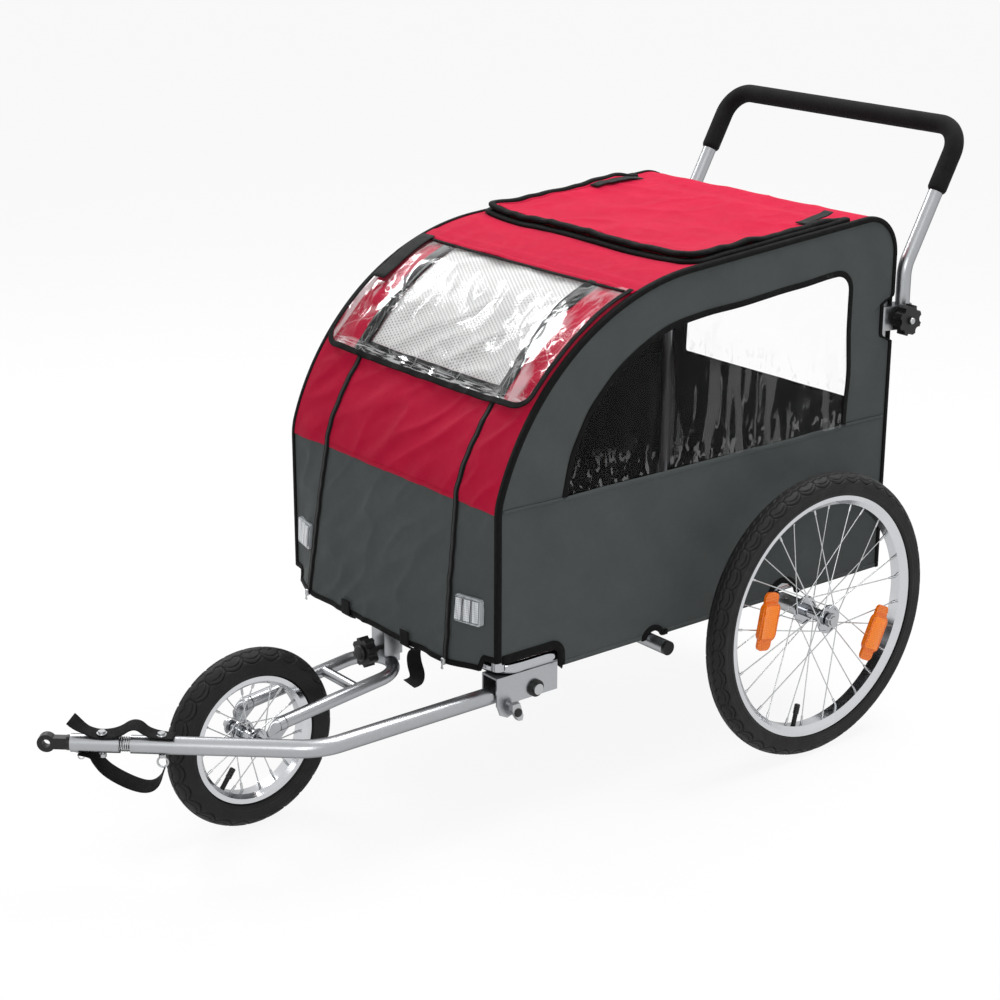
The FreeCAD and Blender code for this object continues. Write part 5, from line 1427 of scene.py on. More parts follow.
@dataclass
class FrontWall:
    """The front: a zip-out door, two side strips, the net window and the clear rain flap."""

    finish: Finishes
    net_low: float = 0.708
    net_half: float = 0.1745
    border: float = 0.024
    flap_low: float = 0.686
    flap_half: float = 0.268
    flap_corner: float = 0.030
    lap: float = 0.0014
    zip_tape: Pair = (0.0125, 0.0016)
    zip_coil: Pair = (0.0056, 0.0030)
    puller: Pair = (0.0052, 0.0018)
    flap_tape: Pair = (0.0105, 0.0024)
    # Size of the painted shadow line under the roof's lip.
    flap_top_tape: Pair = (0.006, 0.0020)
    roll_up_thick: float = 0.0022
    door_hem: Pair = (0.010, 0.0026)
    strip_hem: Pair = (0.0100, 0.0046)
    hem_tab: Pair = (0.024, 0.0026)
    tabs: Pair = (-0.078, 0.091)

    def build(self) -> None:
        """Builds and dresses the front's pieces."""
        self._door()
        self._net()
        for side in Side:
            self._strip(side)
            self._zip(side)
        self._flap()
        self._hem()

    def _door(self) -> None:
        """The door's grey skirt and red upper part."""
        reaches = spread(FOOT_REACH, SEAM_REACH + 0.004, 60)

        def place(u: float, reach: float) -> Vector:
            """A point on the door."""
            return on_front(u * (zip_line(COVER.at(reach)[0].z) - 0.0004), reach)

        skirt = lay_cloth("door_skirt", spread(-1.0, 1.0, 76), reaches, place, chart=front_map)
        hang(skirt, self.finish.grey, Body.DOOR,
             nodes=["door_panel"], lining=self.finish.lining)
        low, jamb = reach_at_height(self.net_low), self.net_half / SIZE.door
        red = lay_cloth("door_upper", sorted([*spread(-1.0, 1.0, 72), -jamb, jamb]),
                        sorted([*spread(SEAM_REACH - 0.004, TOP_REACH, 84), low]),
                        lambda u, r: place(u, r) + out_at(r) * self.lap,
                        hole=lambda u, r: abs(u) < jamb and low < r, chart=front_map)
        hang(red, self.finish.red, Body.DOOR)
        reach = SEAM_REACH + 0.003
        line = [on_front(y, reach, 0.0018) for y in spread(-0.168, 0.168, 60)]
        settle(stitch("door_waist_stitch", line, out_at(reach)), self.finish.red, Body.DOOR)

    def _net(self) -> None:
        """The net and the dark tape that frames it."""
        low, high, half = reach_at_height(self.net_low), TOP_REACH - 0.002, self.net_half
        net = lay_cloth("door_net", spread(-half - 0.004, half + 0.004, 50),
                        spread(low - 0.004, high, 40), lambda y, r: on_front(y, r, -0.0006),
                        thick=0.0006)
        hang(net, self.finish.net, Body.DOOR,
             nodes=["door_mesh"])
        base, outer = low - self.border, half + self.border
        for label, y0, y1, r0, r1, columns, rows in (
                ("left", half, outer, base, high, 6, 40), ("right", -outer, -half, base, high, 6, 40),
                ("foot", -half, half, base, low, 50, 6)):
            tape = lay_cloth(f"net_{label}_border", spread(y0, y1, columns), spread(r0, r1, rows),
                             lambda y, r: on_front(y, r, 0.0030), thick=0.0008)
            hang(tape, self.finish.border, Body.DOOR)

    def _strip(self, side: Side) -> None:
        """One fixed strip beside the door, grey below the waist and red above.

        Args:
            side: where it is.
        """
        sign = side.value

        def place(u: float, v: float, top: float, start: float) -> Vector:
            """A point on the strip.

            Args:
                u: share of the way from the zip to the corner.
                v: share of the way up.
                top: where the strip ends, along the cover.
                start: where it starts.

            Returns:
                The point in the part's frame.
            """
            foot = max(start, corner_rise(SIZE.door_foot + u * (SIZE.band - SIZE.door_foot)))
            reach = foot + (top - foot) * v
            inner = zip_line(COVER.at(reach)[0].z)
            return on_front(sign * (inner + 0.0004 + u * (SIZE.band - inner)), reach)

        us = spread(0.0, 1.0, 30)
        low = lay_cloth(f"{side.word}_strip_skirt", us, spread(0.0, 1.0, 60),
                        lambda u, v: place(u, v, SEAM_REACH + 0.004, FOOT_REACH),
                        chart=front_map, flip=side.flip)
        hang(low, self.finish.grey,
             nodes=["front_strips"] if side is Side.LEFT else [], lining=self.finish.lining)
        high = lay_cloth(f"{side.word}_strip_upper", us, spread(0.0, 1.0, 90),
                         lambda u, v: place(u, v, TOP_REACH, SEAM_REACH - 0.004)
                         + out_at(SEAM_REACH) * self.lap, chart=front_map, flip=side.flip)
        hang(high, self.finish.red)

    def _zip(self, side: Side) -> None:
        """A zip between door and strip: tape, coil, slider and puller.

        Args:
            side: where it is.
        """
        word, finish = side.word, self.finish
        reaches = spread(FOOT_REACH + 0.003, TOP_REACH - 0.012, 420)

        def spot(reach: float, lift: float) -> Vector:
            """A point along the zip."""
            return on_front(side.value * zip_line(COVER.at(reach)[0].z), reach, lift)

        trim(f"{word}_zip_tape", [spot(r, 0.0022) for r in reaches[::3]],
             [out_at(r) for r in reaches[::3]], oval(*self.zip_tape, 10, 0.5), finish.tape)
        trim(f"{word}_zip_coil", [spot(r, 0.0032) for r in reaches], [out_at(r) for r in reaches],
             oval(*self.zip_coil, 8), finish.plastic, swell=lambda j: 1.0 if j % 2 else 0.78)
        reach = FOOT_REACH + 0.004
        slider = bevelled_box(f"{word}_zip_slider", spot(reach, 0.0055),
                              (FORWARD, ACROSS, RIGHT_UP), (0.0055, 0.008, 0.011), 0.0016)
        settle(slider, finish.zinc)
        pull = [spot(reach, 0.0080) - RIGHT_UP * d for d in spread(0.002, 0.013, 10)]
        trim(f"{word}_zip_puller", pull, FORWARD, oval(*self.puller, 10, 0.6), finish.zinc,
             swell=lambda j: 0.70 + 0.5 * ease(j, 5, 8) - 0.5 * ease(j, 8, 9))

    def flap_spot(self, y: float, reach: float, lift: float = 0.0) -> Vector:
        """A point on the rain flap, which lies slack and creased over the net.

        Args:
            y: distance from the middle.
            reach: distance along the cover.
            lift: distance out from the cloth.

        Returns:
            The point in the part's frame.
        """
        low = reach_at_height(self.flap_low)
        t = (reach - low) / (TOP_REACH - low)
        free = (1.0 - ease(t, 0.75, 1.0)) * (1.0 - 0.6 * ease(abs(y), 0.22, 0.268))
        big = fold(y * 1.3, reach * 0.7, 0.055, 21.0)
        ridge = crease(y + 0.4 * reach, reach * 0.8, 0.06, 23.0)
        wave = 0.0050 * big + 0.0050 * ridge * (1.0 - 0.7 * t)
        return front_spot(y, reach, 0.0045 + lift + free * (0.004 + max(-0.0035, wave)))

    def _flap(self) -> None:
        """The clear rain flap with its bound edge and roll-up tabs."""
        low = reach_at_height(self.flap_low)
        top = reach_at_x(0.3507)

        def half_at(reach: float) -> float:
            """Half width of the flap, rounded at its lower corners."""
            run = min(self.flap_corner, max(0.0, reach - low))
            return self.flap_half - self.flap_corner + math.sqrt(
                max(0.0, self.flap_corner ** 2 - (self.flap_corner - run) ** 2))

        rows = sorted({*spread(low, top, 56), *(low + self.flap_corner * (1 - math.cos(
            math.pi / 2 * i / 8)) for i in range(9))})
        film = lay_cloth("rain_flap_film", spread(-1.0, 1.0, 140), rows,
                         lambda u, r: self.flap_spot(u * half_at(r), r),
                         chart=lambda p: (p.y, p.z + p.x * -0.7), thick=0.0)
        hang(film, self.finish.flap, Body.FLAP,
             nodes=["rain_flap"])
        straight = self.flap_half - self.flap_corner - 0.008
        border = [(-half_at(r), r) for r in reversed(rows)]
        border += [(y, low) for y in spread(-straight, straight, 70)]
        border += [(half_at(r), r) for r in rows]
        trim("rain_flap_binding", [self.flap_spot(y, r, 0.0004) for y, r in border],
             [out_at(r) for _, r in border], oval(*self.flap_tape, 10, 0.6), self.finish.tape,
             Body.FLAP)
        # A thin black strip just under the roof's lip, a painted shadow line.
        path = [self.flap_spot(y, top - 0.010, 0.0012) for y in spread(-0.262, 0.262, 90)]
        trim("rain_flap_lip_shadow_strip", path, out_at(top), oval(*self.flap_top_tape, 8), self.finish.tape,
             Body.FLAP)
        for label, spot, y, lean, start, wide, body, lift in (
                ("far", self.flap_spot, -0.242, -0.008, 0.782, 0.034, Body.FLAP, 0.0034),
                ("near", front_spot, 0.176, 0.006, 0.790, 0.019, Body.DOOR, 0.0056)):
            reaches = spread(reach_at_height(start), TOP_REACH - 0.008, 16)
            line = [spot(y + lean * i / 15, r, lift) for i, r in enumerate(reaches)]
            tab = sweep(f"{label}_roll_up_tab", line, [out_at(r) for r in reaches],
                        oval(wide, self.roll_up_thick, 10, 0.4))
            settle(tab, self.finish.border, body, slot="black_webbing")

    def _hem(self) -> None:
        """The bound lower edge of door and strips, with the touch-fastener tabs."""
        half, low, notch = SIZE.door_foot - 0.001, FOOT_REACH + 0.004, SIZE.corner_notch
        trim("door_hem_binding", [on_front(y, low, 0.0006) for y in spread(-half, half, 90)],
             FORWARD, oval(*self.door_hem, 8, 0.6), self.finish.tape, Body.DOOR)
        ys = [*spread(SIZE.door_foot + 0.001, notch - 0.006, 12),
              *spread(notch - 0.004, notch + 0.011, 10), *spread(notch + 0.015, 0.2785, 8)]
        rows = [max(FOOT_REACH, corner_rise(y)) + 0.003 for y in ys]
        for side in Side:
            path = [on_front(side.value * y, reach, 0.0008) for y, reach in zip(ys, rows)]
            trim(f"{side.word}_strip_hem", path, FORWARD, oval(*self.strip_hem, 10, 0.8),
                 self.finish.tape)
        for i, y in enumerate(self.tabs):
            path = [on_front(y, FOOT_REACH, 0.0036) + RIGHT_UP * d
                    - FORWARD * (0.016 * ease(-d, 0.0, 0.012)) for d in spread(0.024, -0.008, 10)]
            trim(f"hem_tab_{i + 1}", path, planar_ups(path, -ACROSS), oval(*self.hem_tab, 10, 0.4),
                 self.finish.strap, Body.DOOR)


@dataclass
class Roof:
    """The red roof cloth and the lift-up hatch over its opening."""

    finish: Finishes
    hatch_front: float = 0.222
    hatch_rear: float = -0.130
    hatch_half: float = 0.262
    hatch_corner: float = 0.024
    rim: float = 0.042
    binding: Pair = (0.0120, 0.0090)
    zip_tape: Pair = (0.0150, 0.0085)
    tab: Pair = (0.022, 0.0024)
    tab_y: float = 0.236
    front_seam: Pair = (0.011, 0.0026)

    def build(self) -> None:
        """Builds and dresses the roof's pieces."""
        self._cloth()
        self._hatch()
        self._front_edge()

    def roof_spot(self, y: float, reach: float, lift: float = 0.0) -> Vector:
        """A point on the roof cloth, which dips between its bars.

        Args:
            y: distance from the middle.
            reach: distance along the cover.
            lift: distance out from the cloth.

        Returns:
            The point in the part's frame.
        """
        point, normal = COVER.at(reach)
        x = point.x - AXLE_X
        inside = (1.0 - ease(abs(y), 0.19, 0.276)) * ease(x, -0.22, -0.10)
        dip = 0.006 * inside * math.sin(math.pi * min(1.0, max(0.0, (0.34 - x) / 0.55)))
        edge = 1.0 - ease(abs(y), 0.245, 0.277)
        ripple = edge * (0.0026 * fold(y, reach, 0.12, 31.0)
                         + 0.0018 * crease(y + 0.6 * reach, reach - 0.4 * y, 0.09, 33.0))
        return point + ACROSS * y + normal * (lift + ripple - dip)

    def _cloth(self) -> None:
        """The roof cloth with its opening under the hatch."""
        front, rear = reach_at_x(self.hatch_front - self.rim), reach_at_x(self.hatch_rear + self.rim)
        half = self.hatch_half - self.rim
        cloth = lay_cloth(
            "roof_cloth", sorted([*spread(-SIZE.band, SIZE.band, 84), -half, half]),
            sorted([*spread(TOP_REACH - 0.010, BACK_REACH + 0.004, 110), front, rear]),
            lambda y, r: self.roof_spot(y, r, 0.0016 if r < TOP_REACH + 0.02 else 0.0),
            hole=lambda y, r: abs(y) < half and front < r < rear)
        hang(cloth, self.finish.red,
             nodes=["roof_panel"])

    def hatch_front_x(self, y: float) -> float:
        """The hatch's front edge, rounded at its corners."""
        run = max(0.0, abs(y) - (self.hatch_half - self.hatch_corner))
        drop = self.hatch_corner - math.sqrt(max(0.0, self.hatch_corner ** 2 - run ** 2))
        return self.hatch_front - drop

    def hatch_spot(self, y: float, x: float, lift: float = 0.0) -> Vector:
        """A point on the hatch, which stands off the roof towards its wavy front edge.

        Args:
            y: distance from the middle.
            x: distance ahead of the axle.
            lift: distance out from the cloth.

        Returns:
            The point in the part's frame.
        """
        reach = reach_at_x(x)
        t = (x - self.hatch_rear) / (self.hatch_front - self.hatch_rear)
        rim = max(ease(abs(y), 0.16, 0.262), ease(t, 0.62, 1.0))
        wave = (fold(y * 0.8, x, 0.055, 41.0) + 0.5 * fold(y, x, 0.03, 42.0)) * rim
        rise = 0.006 + 0.005 * t * t + 0.0034 * wave + 0.0030 * fold(y, x, 0.13, 43.0)
        rise += 0.0026 * crease(y + 0.5 * x, x - 0.3 * y, 0.10, 44.0)
        stand = max(0.0035, rise) * ease(t, 0.0, 0.12) + 0.0012 + lift
        return self.roof_spot(y, reach) + out_at(reach) * stand

    def _hatch(self) -> None:
        """The hatch cloth, its binding, the zip tape below and its tabs."""
        ys = [self.hatch_half * math.sin(math.pi / 2 * t) for t in spread(-1.0, 1.0, 96)]

        def place(y: float, t: float) -> Vector:
            """A point on the hatch from its rear edge to its front edge."""
            x = self.hatch_rear + (self.hatch_front_x(y) - self.hatch_rear) * t
            return self.hatch_spot(y, x)

        cloth = lay_cloth("hatch_cloth", ys, spread(0.0, 1.0, 74), place,
                          chart=lambda p: (p.y, p.x), flip=True)
        hang(cloth, self.finish.red, Body.HATCH,
             nodes=["roof_hatch"])
        turns = [math.pi / 2 * i / 12 for i in range(13)]
        inner = self.hatch_half - self.hatch_corner
        back = self.hatch_front - self.hatch_corner

        def edge(grow: float) -> list[Pair]:
            """Draws the hatch's free edge.

            Args:
                grow: distance outside the cloth's edge.

            Returns:
                Pairs of y and x, from rear right to rear left.
            """
            r = self.hatch_corner
            right = [(-(self.hatch_half + grow), x) for x in spread(self.hatch_rear, back, 44)]
            right += [(-(inner + (r + grow) * math.cos(a)), back + (r + grow) * math.sin(a))
                      for a in turns[1:]]
            left = [(-y, x) for y, x in reversed(right)]
            return right + [(y, self.hatch_front + grow) for y in spread(-inner, inner, 66)[1:-1]] + left

        def ups(line: list[Pair]) -> list[Vector]:
            """Directions out of the roof along an edge."""
            return [out_at(reach_at_x(x)) for _, x in line]

        line = edge(-0.001)
        trim("hatch_binding", [self.hatch_spot(y, x, 0.0006) for y, x in line], ups(line),
             oval(*self.binding, 12, 0.7), self.finish.tape, Body.HATCH)
        line = edge(-0.014)
        thread = stitch("hatch_stitch", [self.hatch_spot(y, x, 0.0004) for y, x in line], ups(line))
        settle(thread, self.finish.red, Body.HATCH)
        line = edge(0.004)
        path = [self.roof_spot(y, reach_at_x(x), 0.0030 + 0.0012 * fold(y, x, 0.05, 45.0))
                for y, x in line]
        trim("hatch_zip_tape", path, ups(line), oval(*self.zip_tape, 12, 0.6), self.finish.tape)
        for side, start, end, curl in ((Side.RIGHT, -0.006, -0.116, 0.0),
                                       (Side.LEFT, -0.050, -0.118, 0.010)):
            xs = spread(start, end, 14)
            path = [self.hatch_spot(side.value * self.tab_y, x, 0.0030 + curl * (i / 13) ** 3)
                    for i, x in enumerate(xs)]
            tab = sweep(f"{side.word}_hatch_tab", path, planar_ups(path, ACROSS),
                        oval(*self.tab, 10, 0.4))
            settle(tab, self.finish.border, Body.HATCH, slot="black_webbing")

    def _front_edge(self) -> None:
        """The seam where the roof laps over the rain flap."""
        path = [self.roof_spot(y, TOP_REACH - 0.006, 0.0030) for y in spread(-0.276, 0.276, 80)]
        trim("roof_front_seam", path, out_at(TOP_REACH), oval(*self.front_seam, 8), self.finish.red)


@dataclass
class RearWall:
    """The rear cloth with its clear window."""

    finish: Finishes
    half: float = 0.235
    low: float = 0.545
    high: float = 0.785
    corner: float = 0.010
    window_tape: Pair = (0.012, 0.0024)
    edge_tape: Pair = (0.011, 0.0026)

    def spot(self, y: float, z: float, lift: float = 0.0) -> Vector:
        """A point on the rear wall with its soft folds."""
        edge = (1.0 - ease(abs(y), 0.24, 0.277)) * ease(z, 0.26, 0.32)
        ripple = 0.004 * fold(y, z, 0.15, 51.0) + 0.002 * fold(y + z, (y - z) * 2, 0.1, 52.0)
        return on_axle(SIZE.rear - lift - edge * ripple * (1.0 - ease(z, 0.76, 0.82)), y, z)

    def build(self) -> None:
        """Builds and dresses the rear wall's pieces."""
        mid, rise = (self.low + self.high) / 2, (self.high - self.low) / 2

        def open_here(y: float, z: float) -> bool:
            """Whether a place is inside the window."""
            dy = max(0.0, abs(y) - (self.half - self.corner))
            dz = max(0.0, abs(z - mid) - (rise - self.corner))
            return math.hypot(dy, dz) < self.corner and abs(y) < self.half and abs(z - mid) < rise

        wall = lay_cloth("rear_cloth", sorted([*spread(-SIZE.band, SIZE.band, 110), -self.half,
                                               self.half]),
                         sorted([*spread(SIZE.hem, SIZE.back[1], 112), self.low, self.high]),
                         self.spot, hole=open_here, flip=True)
        hang(wall, self.finish.grey,
             nodes=["rear_panel"], lining=self.finish.lining)
        film = lay_cloth("rear_window", spread(-self.half - 0.006, self.half + 0.006, 90),
                         spread(self.low - 0.006, self.high + 0.006, 50),
                         lambda y, z: self.spot(y, z, -0.0012) - FORWARD * (
                             0.003 * fold(y * 1.2, z * 0.6, 0.05, 55.0)), flip=True, thick=0.0)
        hang(film, self.finish.film)
        ring = []
        for quarter, (sy, sz) in enumerate(((1, 1), (-1, 1), (-1, -1), (1, -1))):
            centre = (sy * (self.half - self.corner), mid + sz * (rise - self.corner))
            ring += [polar(centre, self.corner, 90.0 * (quarter + i / 8)) for i in range(9)]
        full = []
        for (y0, z0), (y1, z1) in zip(ring, ring[1:] + ring[:1]):
            steps = max(1, round(math.hypot(y1 - y0, z1 - z0) / 0.012))
            full += [(y0 + (y1 - y0) * k / steps, z0 + (z1 - z0) * k / steps)
                     for k in range(steps)]
        full.append(full[0])
        trim("rear_window_binding", [self.spot(y, z, 0.0008) for y, z in full], -FORWARD,
             oval(*self.window_tape, 10, 0.6), self.finish.tape)
        for label, z, lift in (("top", SIZE.back[1] - 0.001, 0.0032),
                               ("hem", SIZE.hem + 0.004, 0.0010)):
            path = [self.spot(y, z, lift) for y in spread(-0.277, 0.277, 70)]
            trim(f"rear_{label}_binding", path, -FORWARD, oval(*self.edge_tape, 8, 0.6),
                 self.finish.tape)


# Wheels, handle, straps and hardware


VALVE_CAP: list[Pair] = [
    (0.0, 0.0), (0.0036, 0.0), (0.0050, 0.0014), (0.0050, 0.0060), (0.0044, 0.0066),
    (0.0050, 0.0072), (0.0050, 0.0110), (0.0044, 0.0116), (0.0050, 0.0122), (0.0050, 0.0170),
    (0.0040, 0.0180)]


@dataclass(frozen=True)
class Wheel:
    """A block-tread tyre on its rim, and the cap on its valve.

    Args:
        word: the wheel's name.
        body: the body that turns.
        hub: the wheel's middle.
        ring: radius of the circle along the middle of the tyre's section.
        section: radius of that section.
        blocks: tread blocks round the tyre.
        valve_turn: degrees from straight ahead down to the valve.
        valve_reach: distance of the valve cap from the hub.
        foot: degrees from the crown to where the casing meets the rim.
        tread_edge: degrees from the crown to the edge of the tread.
        relief: height of the tread.
    """

    word: str
    body: Body
    hub: Vector
    ring: float
    section: float
    blocks: int
    valve_turn: float
    valve_reach: float
    foot: float = 126.0
    tread_edge: float = 72.0
    relief: float = 0.0026

    def tread(self, turn: float, lean: float) -> float:
        """Height of the rubber over the casing.

        Args:
            turn: angle round the wheel, in blocks.
            lean: angle round the section from the crown, in degrees.

        Returns:
            Height in metres.
        """
        off = abs(lean)
        t = (turn + (0.5 if lean < 0 else 0.0)) % 1.0
        arc = math.sin(math.pi * t) ** 0.8
        gap = min(t, 1.0 - t)
        scale = 1.0 - ease(abs(off - 44.0 - 22.0 * arc), 1.2, 3.6)
        inner = 0.7 * (1.0 - ease(abs(off - 27.0 - 21.0 * arc), 1.0, 3.0))
        cut = (1.0 - ease(gap, 0.015, 0.070)) * ease(off, 20.0, 24.0) * (1.0 - ease(off, 46.0, 52.0))
        zigzag = 5.0 * (2.0 * abs(2.0 * ((turn * 2.0) % 1.0) - 1.0) - 1.0)
        groove = 1.0 - ease(abs(off - 14.0 - zigzag), 1.4, 3.6)
        wall = 0.0005 * (1.0 - ease(abs(off - 96.0), 1.5, 4.0))
        wall += 0.0006 * (1.0 - ease(abs(off - 110.0), 2.0, 5.0))
        body = 1.0 - ease(off, 58.0, 92.0)
        return self.relief * (body - 0.75 * max(scale, inner, cut, groove)) + wall

    def build(self, finish: Finishes) -> None:
        """Spins the casing, raises the tread and dresses it.

        Args:
            finish: the trailer's finishes.
        """
        flank = spread(self.tread_edge + 4.0, self.foot, 12)
        leans = [-a for a in reversed(flank)] + spread(-self.tread_edge, self.tread_edge, 73) + flank
        bare = self.section - self.relief
        bm = bmesh.new()

        def spot(radius: float, lean: float) -> Vector:
            """A point of the section in the plane ahead of the axle."""
            a = math.radians(lean)
            return self.hub + FORWARD * (self.ring + radius * math.cos(a)) + ACROSS * (
                radius * math.sin(a))

        outer = [bm.verts.new(spot(bare + self.relief * ease(abs(a), 98.0, self.foot), a))
                 for a in leans]
        inner = [bm.verts.new(spot(self.section - 0.0045, a)) for a in leans[::-4]]
        loop = outer + inner
        edges = [bm.edges.new(pair) for pair in zip(loop, loop[1:] + loop[:1])]
        bmesh.ops.spin(bm, geom=loop + edges, cent=self.hub, axis=ACROSS, angle=2 * math.pi,
                       steps=self.blocks * 16, use_merge=True)
        for vert in bm.verts:
            arm = vert.co - self.hub
            turn = math.atan2(arm.z, arm.x)
            out = Vector((math.cos(turn), 0.0, math.sin(turn)))
            core = self.hub + out * self.ring
            way = vert.co - core
            if way.length < bare - 0.0005:
                continue
            lean = math.degrees(math.atan2(way.y, way.dot(out)))
            vert.co += way.normalized() * self.tread(turn / (2 * math.pi) * self.blocks, lean)
        bmesh.ops.recalc_face_normals(bm, faces=bm.faces)
        obj = sharp_at(link_mesh(f"{self.word}_tyre_casing", bm), 50.0)
        settle(obj, finish.tyre, self.body, [f"{self.word}_tyre"])

    def cap_valve(self, finish: Finishes) -> None:
        """Puts the ribbed cap on the valve.

        Args:
            finish: the trailer's finishes.
        """
        a = math.radians(self.valve_turn)
        out = Vector((math.cos(a), 0.0, -math.sin(a)))
        cap = turned(f"{self.word}_valve_cap", VALVE_CAP, self.hub + out * self.valve_reach, out, 18)
        settle(cap, finish.plastic, self.body)


@dataclass
class Handle:
    """The foam sleeve on the push handle."""

    finish: Finishes
    corner: Pair = (-0.393, 1.027)
    leg: Pair = (-0.266, 0.800)
    half: float = 0.280
    bend: float = 0.048
    reach: float = 0.120
    dia: float = 0.0332

    def build(self) -> None:
        """Sweeps the sleeve along the handle's bar and dresses it."""
        down = Vector((self.leg[0] - self.corner[0], 0.0, self.leg[1] - self.corner[1])).normalized()
        top = on_axle(self.corner[0], self.half, self.corner[1])
        leg = [top + down * d for d in spread(self.reach, self.bend + 0.002, 22)]
        hub = top + down * self.bend - ACROSS * self.bend
        arc = [hub + ACROSS * (self.bend * math.cos(a)) - down * (self.bend * math.sin(a))
               for a in spread(0.0, math.pi / 2, 16)]
        left = leg + arc
        right = [Vector((p.x, -p.y, p.z)) for p in reversed(left)]
        bar = [top - ACROSS * y for y in spread(self.bend + 0.006, 2 * self.half - self.bend - 0.006,
                                                90)]
        path = left + bar + right
        last = len(path) - 1
        plane = down.cross(ACROSS).normalized()

        def ends(j: int) -> float:
            """Rounds the sleeve's two ends."""
            gap = min(j, last - j)
            return (0.80, 0.95, 1.0)[min(gap, 2)] + 0.006 * noise.noise(Vector((j * 0.31, 0.0, 4.0)))

        grip = sweep("foam_grip_sleeve", path, planar_ups(path, plane), oval(self.dia, self.dia, 28),
                     ends)
        settle(grip, self.finish.foam, Body.HANDLE, ["handle_grip"])


@dataclass
class TowStraps:
    """The safety webbing over the spring, its lower loop, and the pull strap under the front."""

    finish: Finishes
    start: Triple = (0.937, 0.250, 0.228)
    turn: float = 42.0
    rear_bolt: float = 0.238
    front_bolt: float = 0.328
    lift: float = 0.0152
    ring_low: float = -0.0380
    wide: float = 0.025
    thick: float = 0.0018

    def on_tow(self, reach: float, rise: float) -> Vector:
        """A point along the tow bar's front run."""
        a = math.radians(self.turn)
        x, y, z = self.start
        return on_axle(x + reach * math.cos(a), y - reach * math.sin(a), z + rise)

    def build(self) -> None:
        """Builds and dresses the straps and the grommets on them."""
        rear, front, lift = self.rear_bolt, self.front_bolt, self.lift
        side = Vector((math.sin(math.radians(self.turn)), math.cos(math.radians(self.turn)), 0.0))
        top = [(rear - 0.020, lift), (rear + 0.016, lift), (rear + 0.038, lift + 0.022),
               (front - 0.022, lift), (front + 0.022, lift), (front + 0.046, lift + 0.024)]
        low = [(rear - 0.002, self.ring_low), (rear + 0.002, -lift - 0.040),
               (rear + 0.020, -lift - 0.056), (rear + 0.048, -lift - 0.050),
               (front - 0.006, -lift - 0.030), (front + 0.010, -lift - 0.010),
               (front + 0.016, -lift), (front + 0.036, -lift)]
        self._strap("safety_webbing", [self.on_tow(*p) for p in top], side, Body.TOW,
                    "safety_strap", 18.0, (30.0, 0.86))
        self._strap("safety_webbing_loop", [self.on_tow(*p) for p in low], side, Body.TOW,
                    "safety_loop", 34.0)
        washer = [(0.0034, 0.0), (0.0078, 0.0), (0.0082, 0.0005), (0.0078, 0.0014),
                  (0.0034, 0.0016)]
        for label, reach, body in (("rear", rear, Body.TOW), ("front", front, Body.HITCH)):
            spot = self.on_tow(reach, lift + 0.0010)
            settle(turned(f"{label}_strap_washer", washer, spot, RIGHT_UP), self.finish.zinc, body)
        wire = [(0.356, -0.0135), (0.356, -0.021), (0.358, -0.026), (0.364, -0.027),
                (0.367, -0.022), (0.362, -0.017), (0.372, -0.0145)]
        path = spline_points([self.on_tow(*spot) for spot in wire])
        trim("hitch_spring_clip", path, planar_ups(path, side), oval(0.0018, 0.0018, 8),
             self.finish.zinc, Body.HITCH)
        pull = [on_axle(0.614, y, z) for y, z in (
            (0.098, 0.2570), (0.076, 0.2530), (0.056, 0.2480), (0.044, 0.2340), (0.046, 0.2140),
            (0.056, 0.1970), (0.049, 0.1820), (0.031, 0.1730))]
        self._strap("pull_webbing", pull, FORWARD, Body.CHASSIS, "pull_strap", 0.0,
                    (-48.0, 0.20))

    def _strap(self, name: str, route: list[Vector], side: Vector, body: Body, node: str,
               twist: float, curl: Pair = (0.0, 0.5)) -> None:
        """Lays one strap along its route.

        Args:
            name: the piece's name.
            route: the control points of its line.
            side: direction across the strap.
            body: the body that it rides on.
            node: the solid that it stands for.
            twist: degrees that its middle leans towards the side.
            curl: degrees that its end turns to the side, and the share of its run where that starts.
        """
        path = spline_points(route)
        last = len(path) - 1
        ups = []
        for i, up in enumerate(planar_ups(path, side)):
            lean = math.copysign(math.radians(twist) * math.sin(math.pi * i / last), up.z)
            lean += math.radians(curl[0]) * ease(i / last, curl[1], 1.0)
            ups.append(up * math.cos(lean) + side * math.sin(lean))
        strap = sweep(name, path, ups, oval(self.wide, self.thick, 14, 0.35))
        hang(strap, self.finish.strap, body,
             nodes=[node])


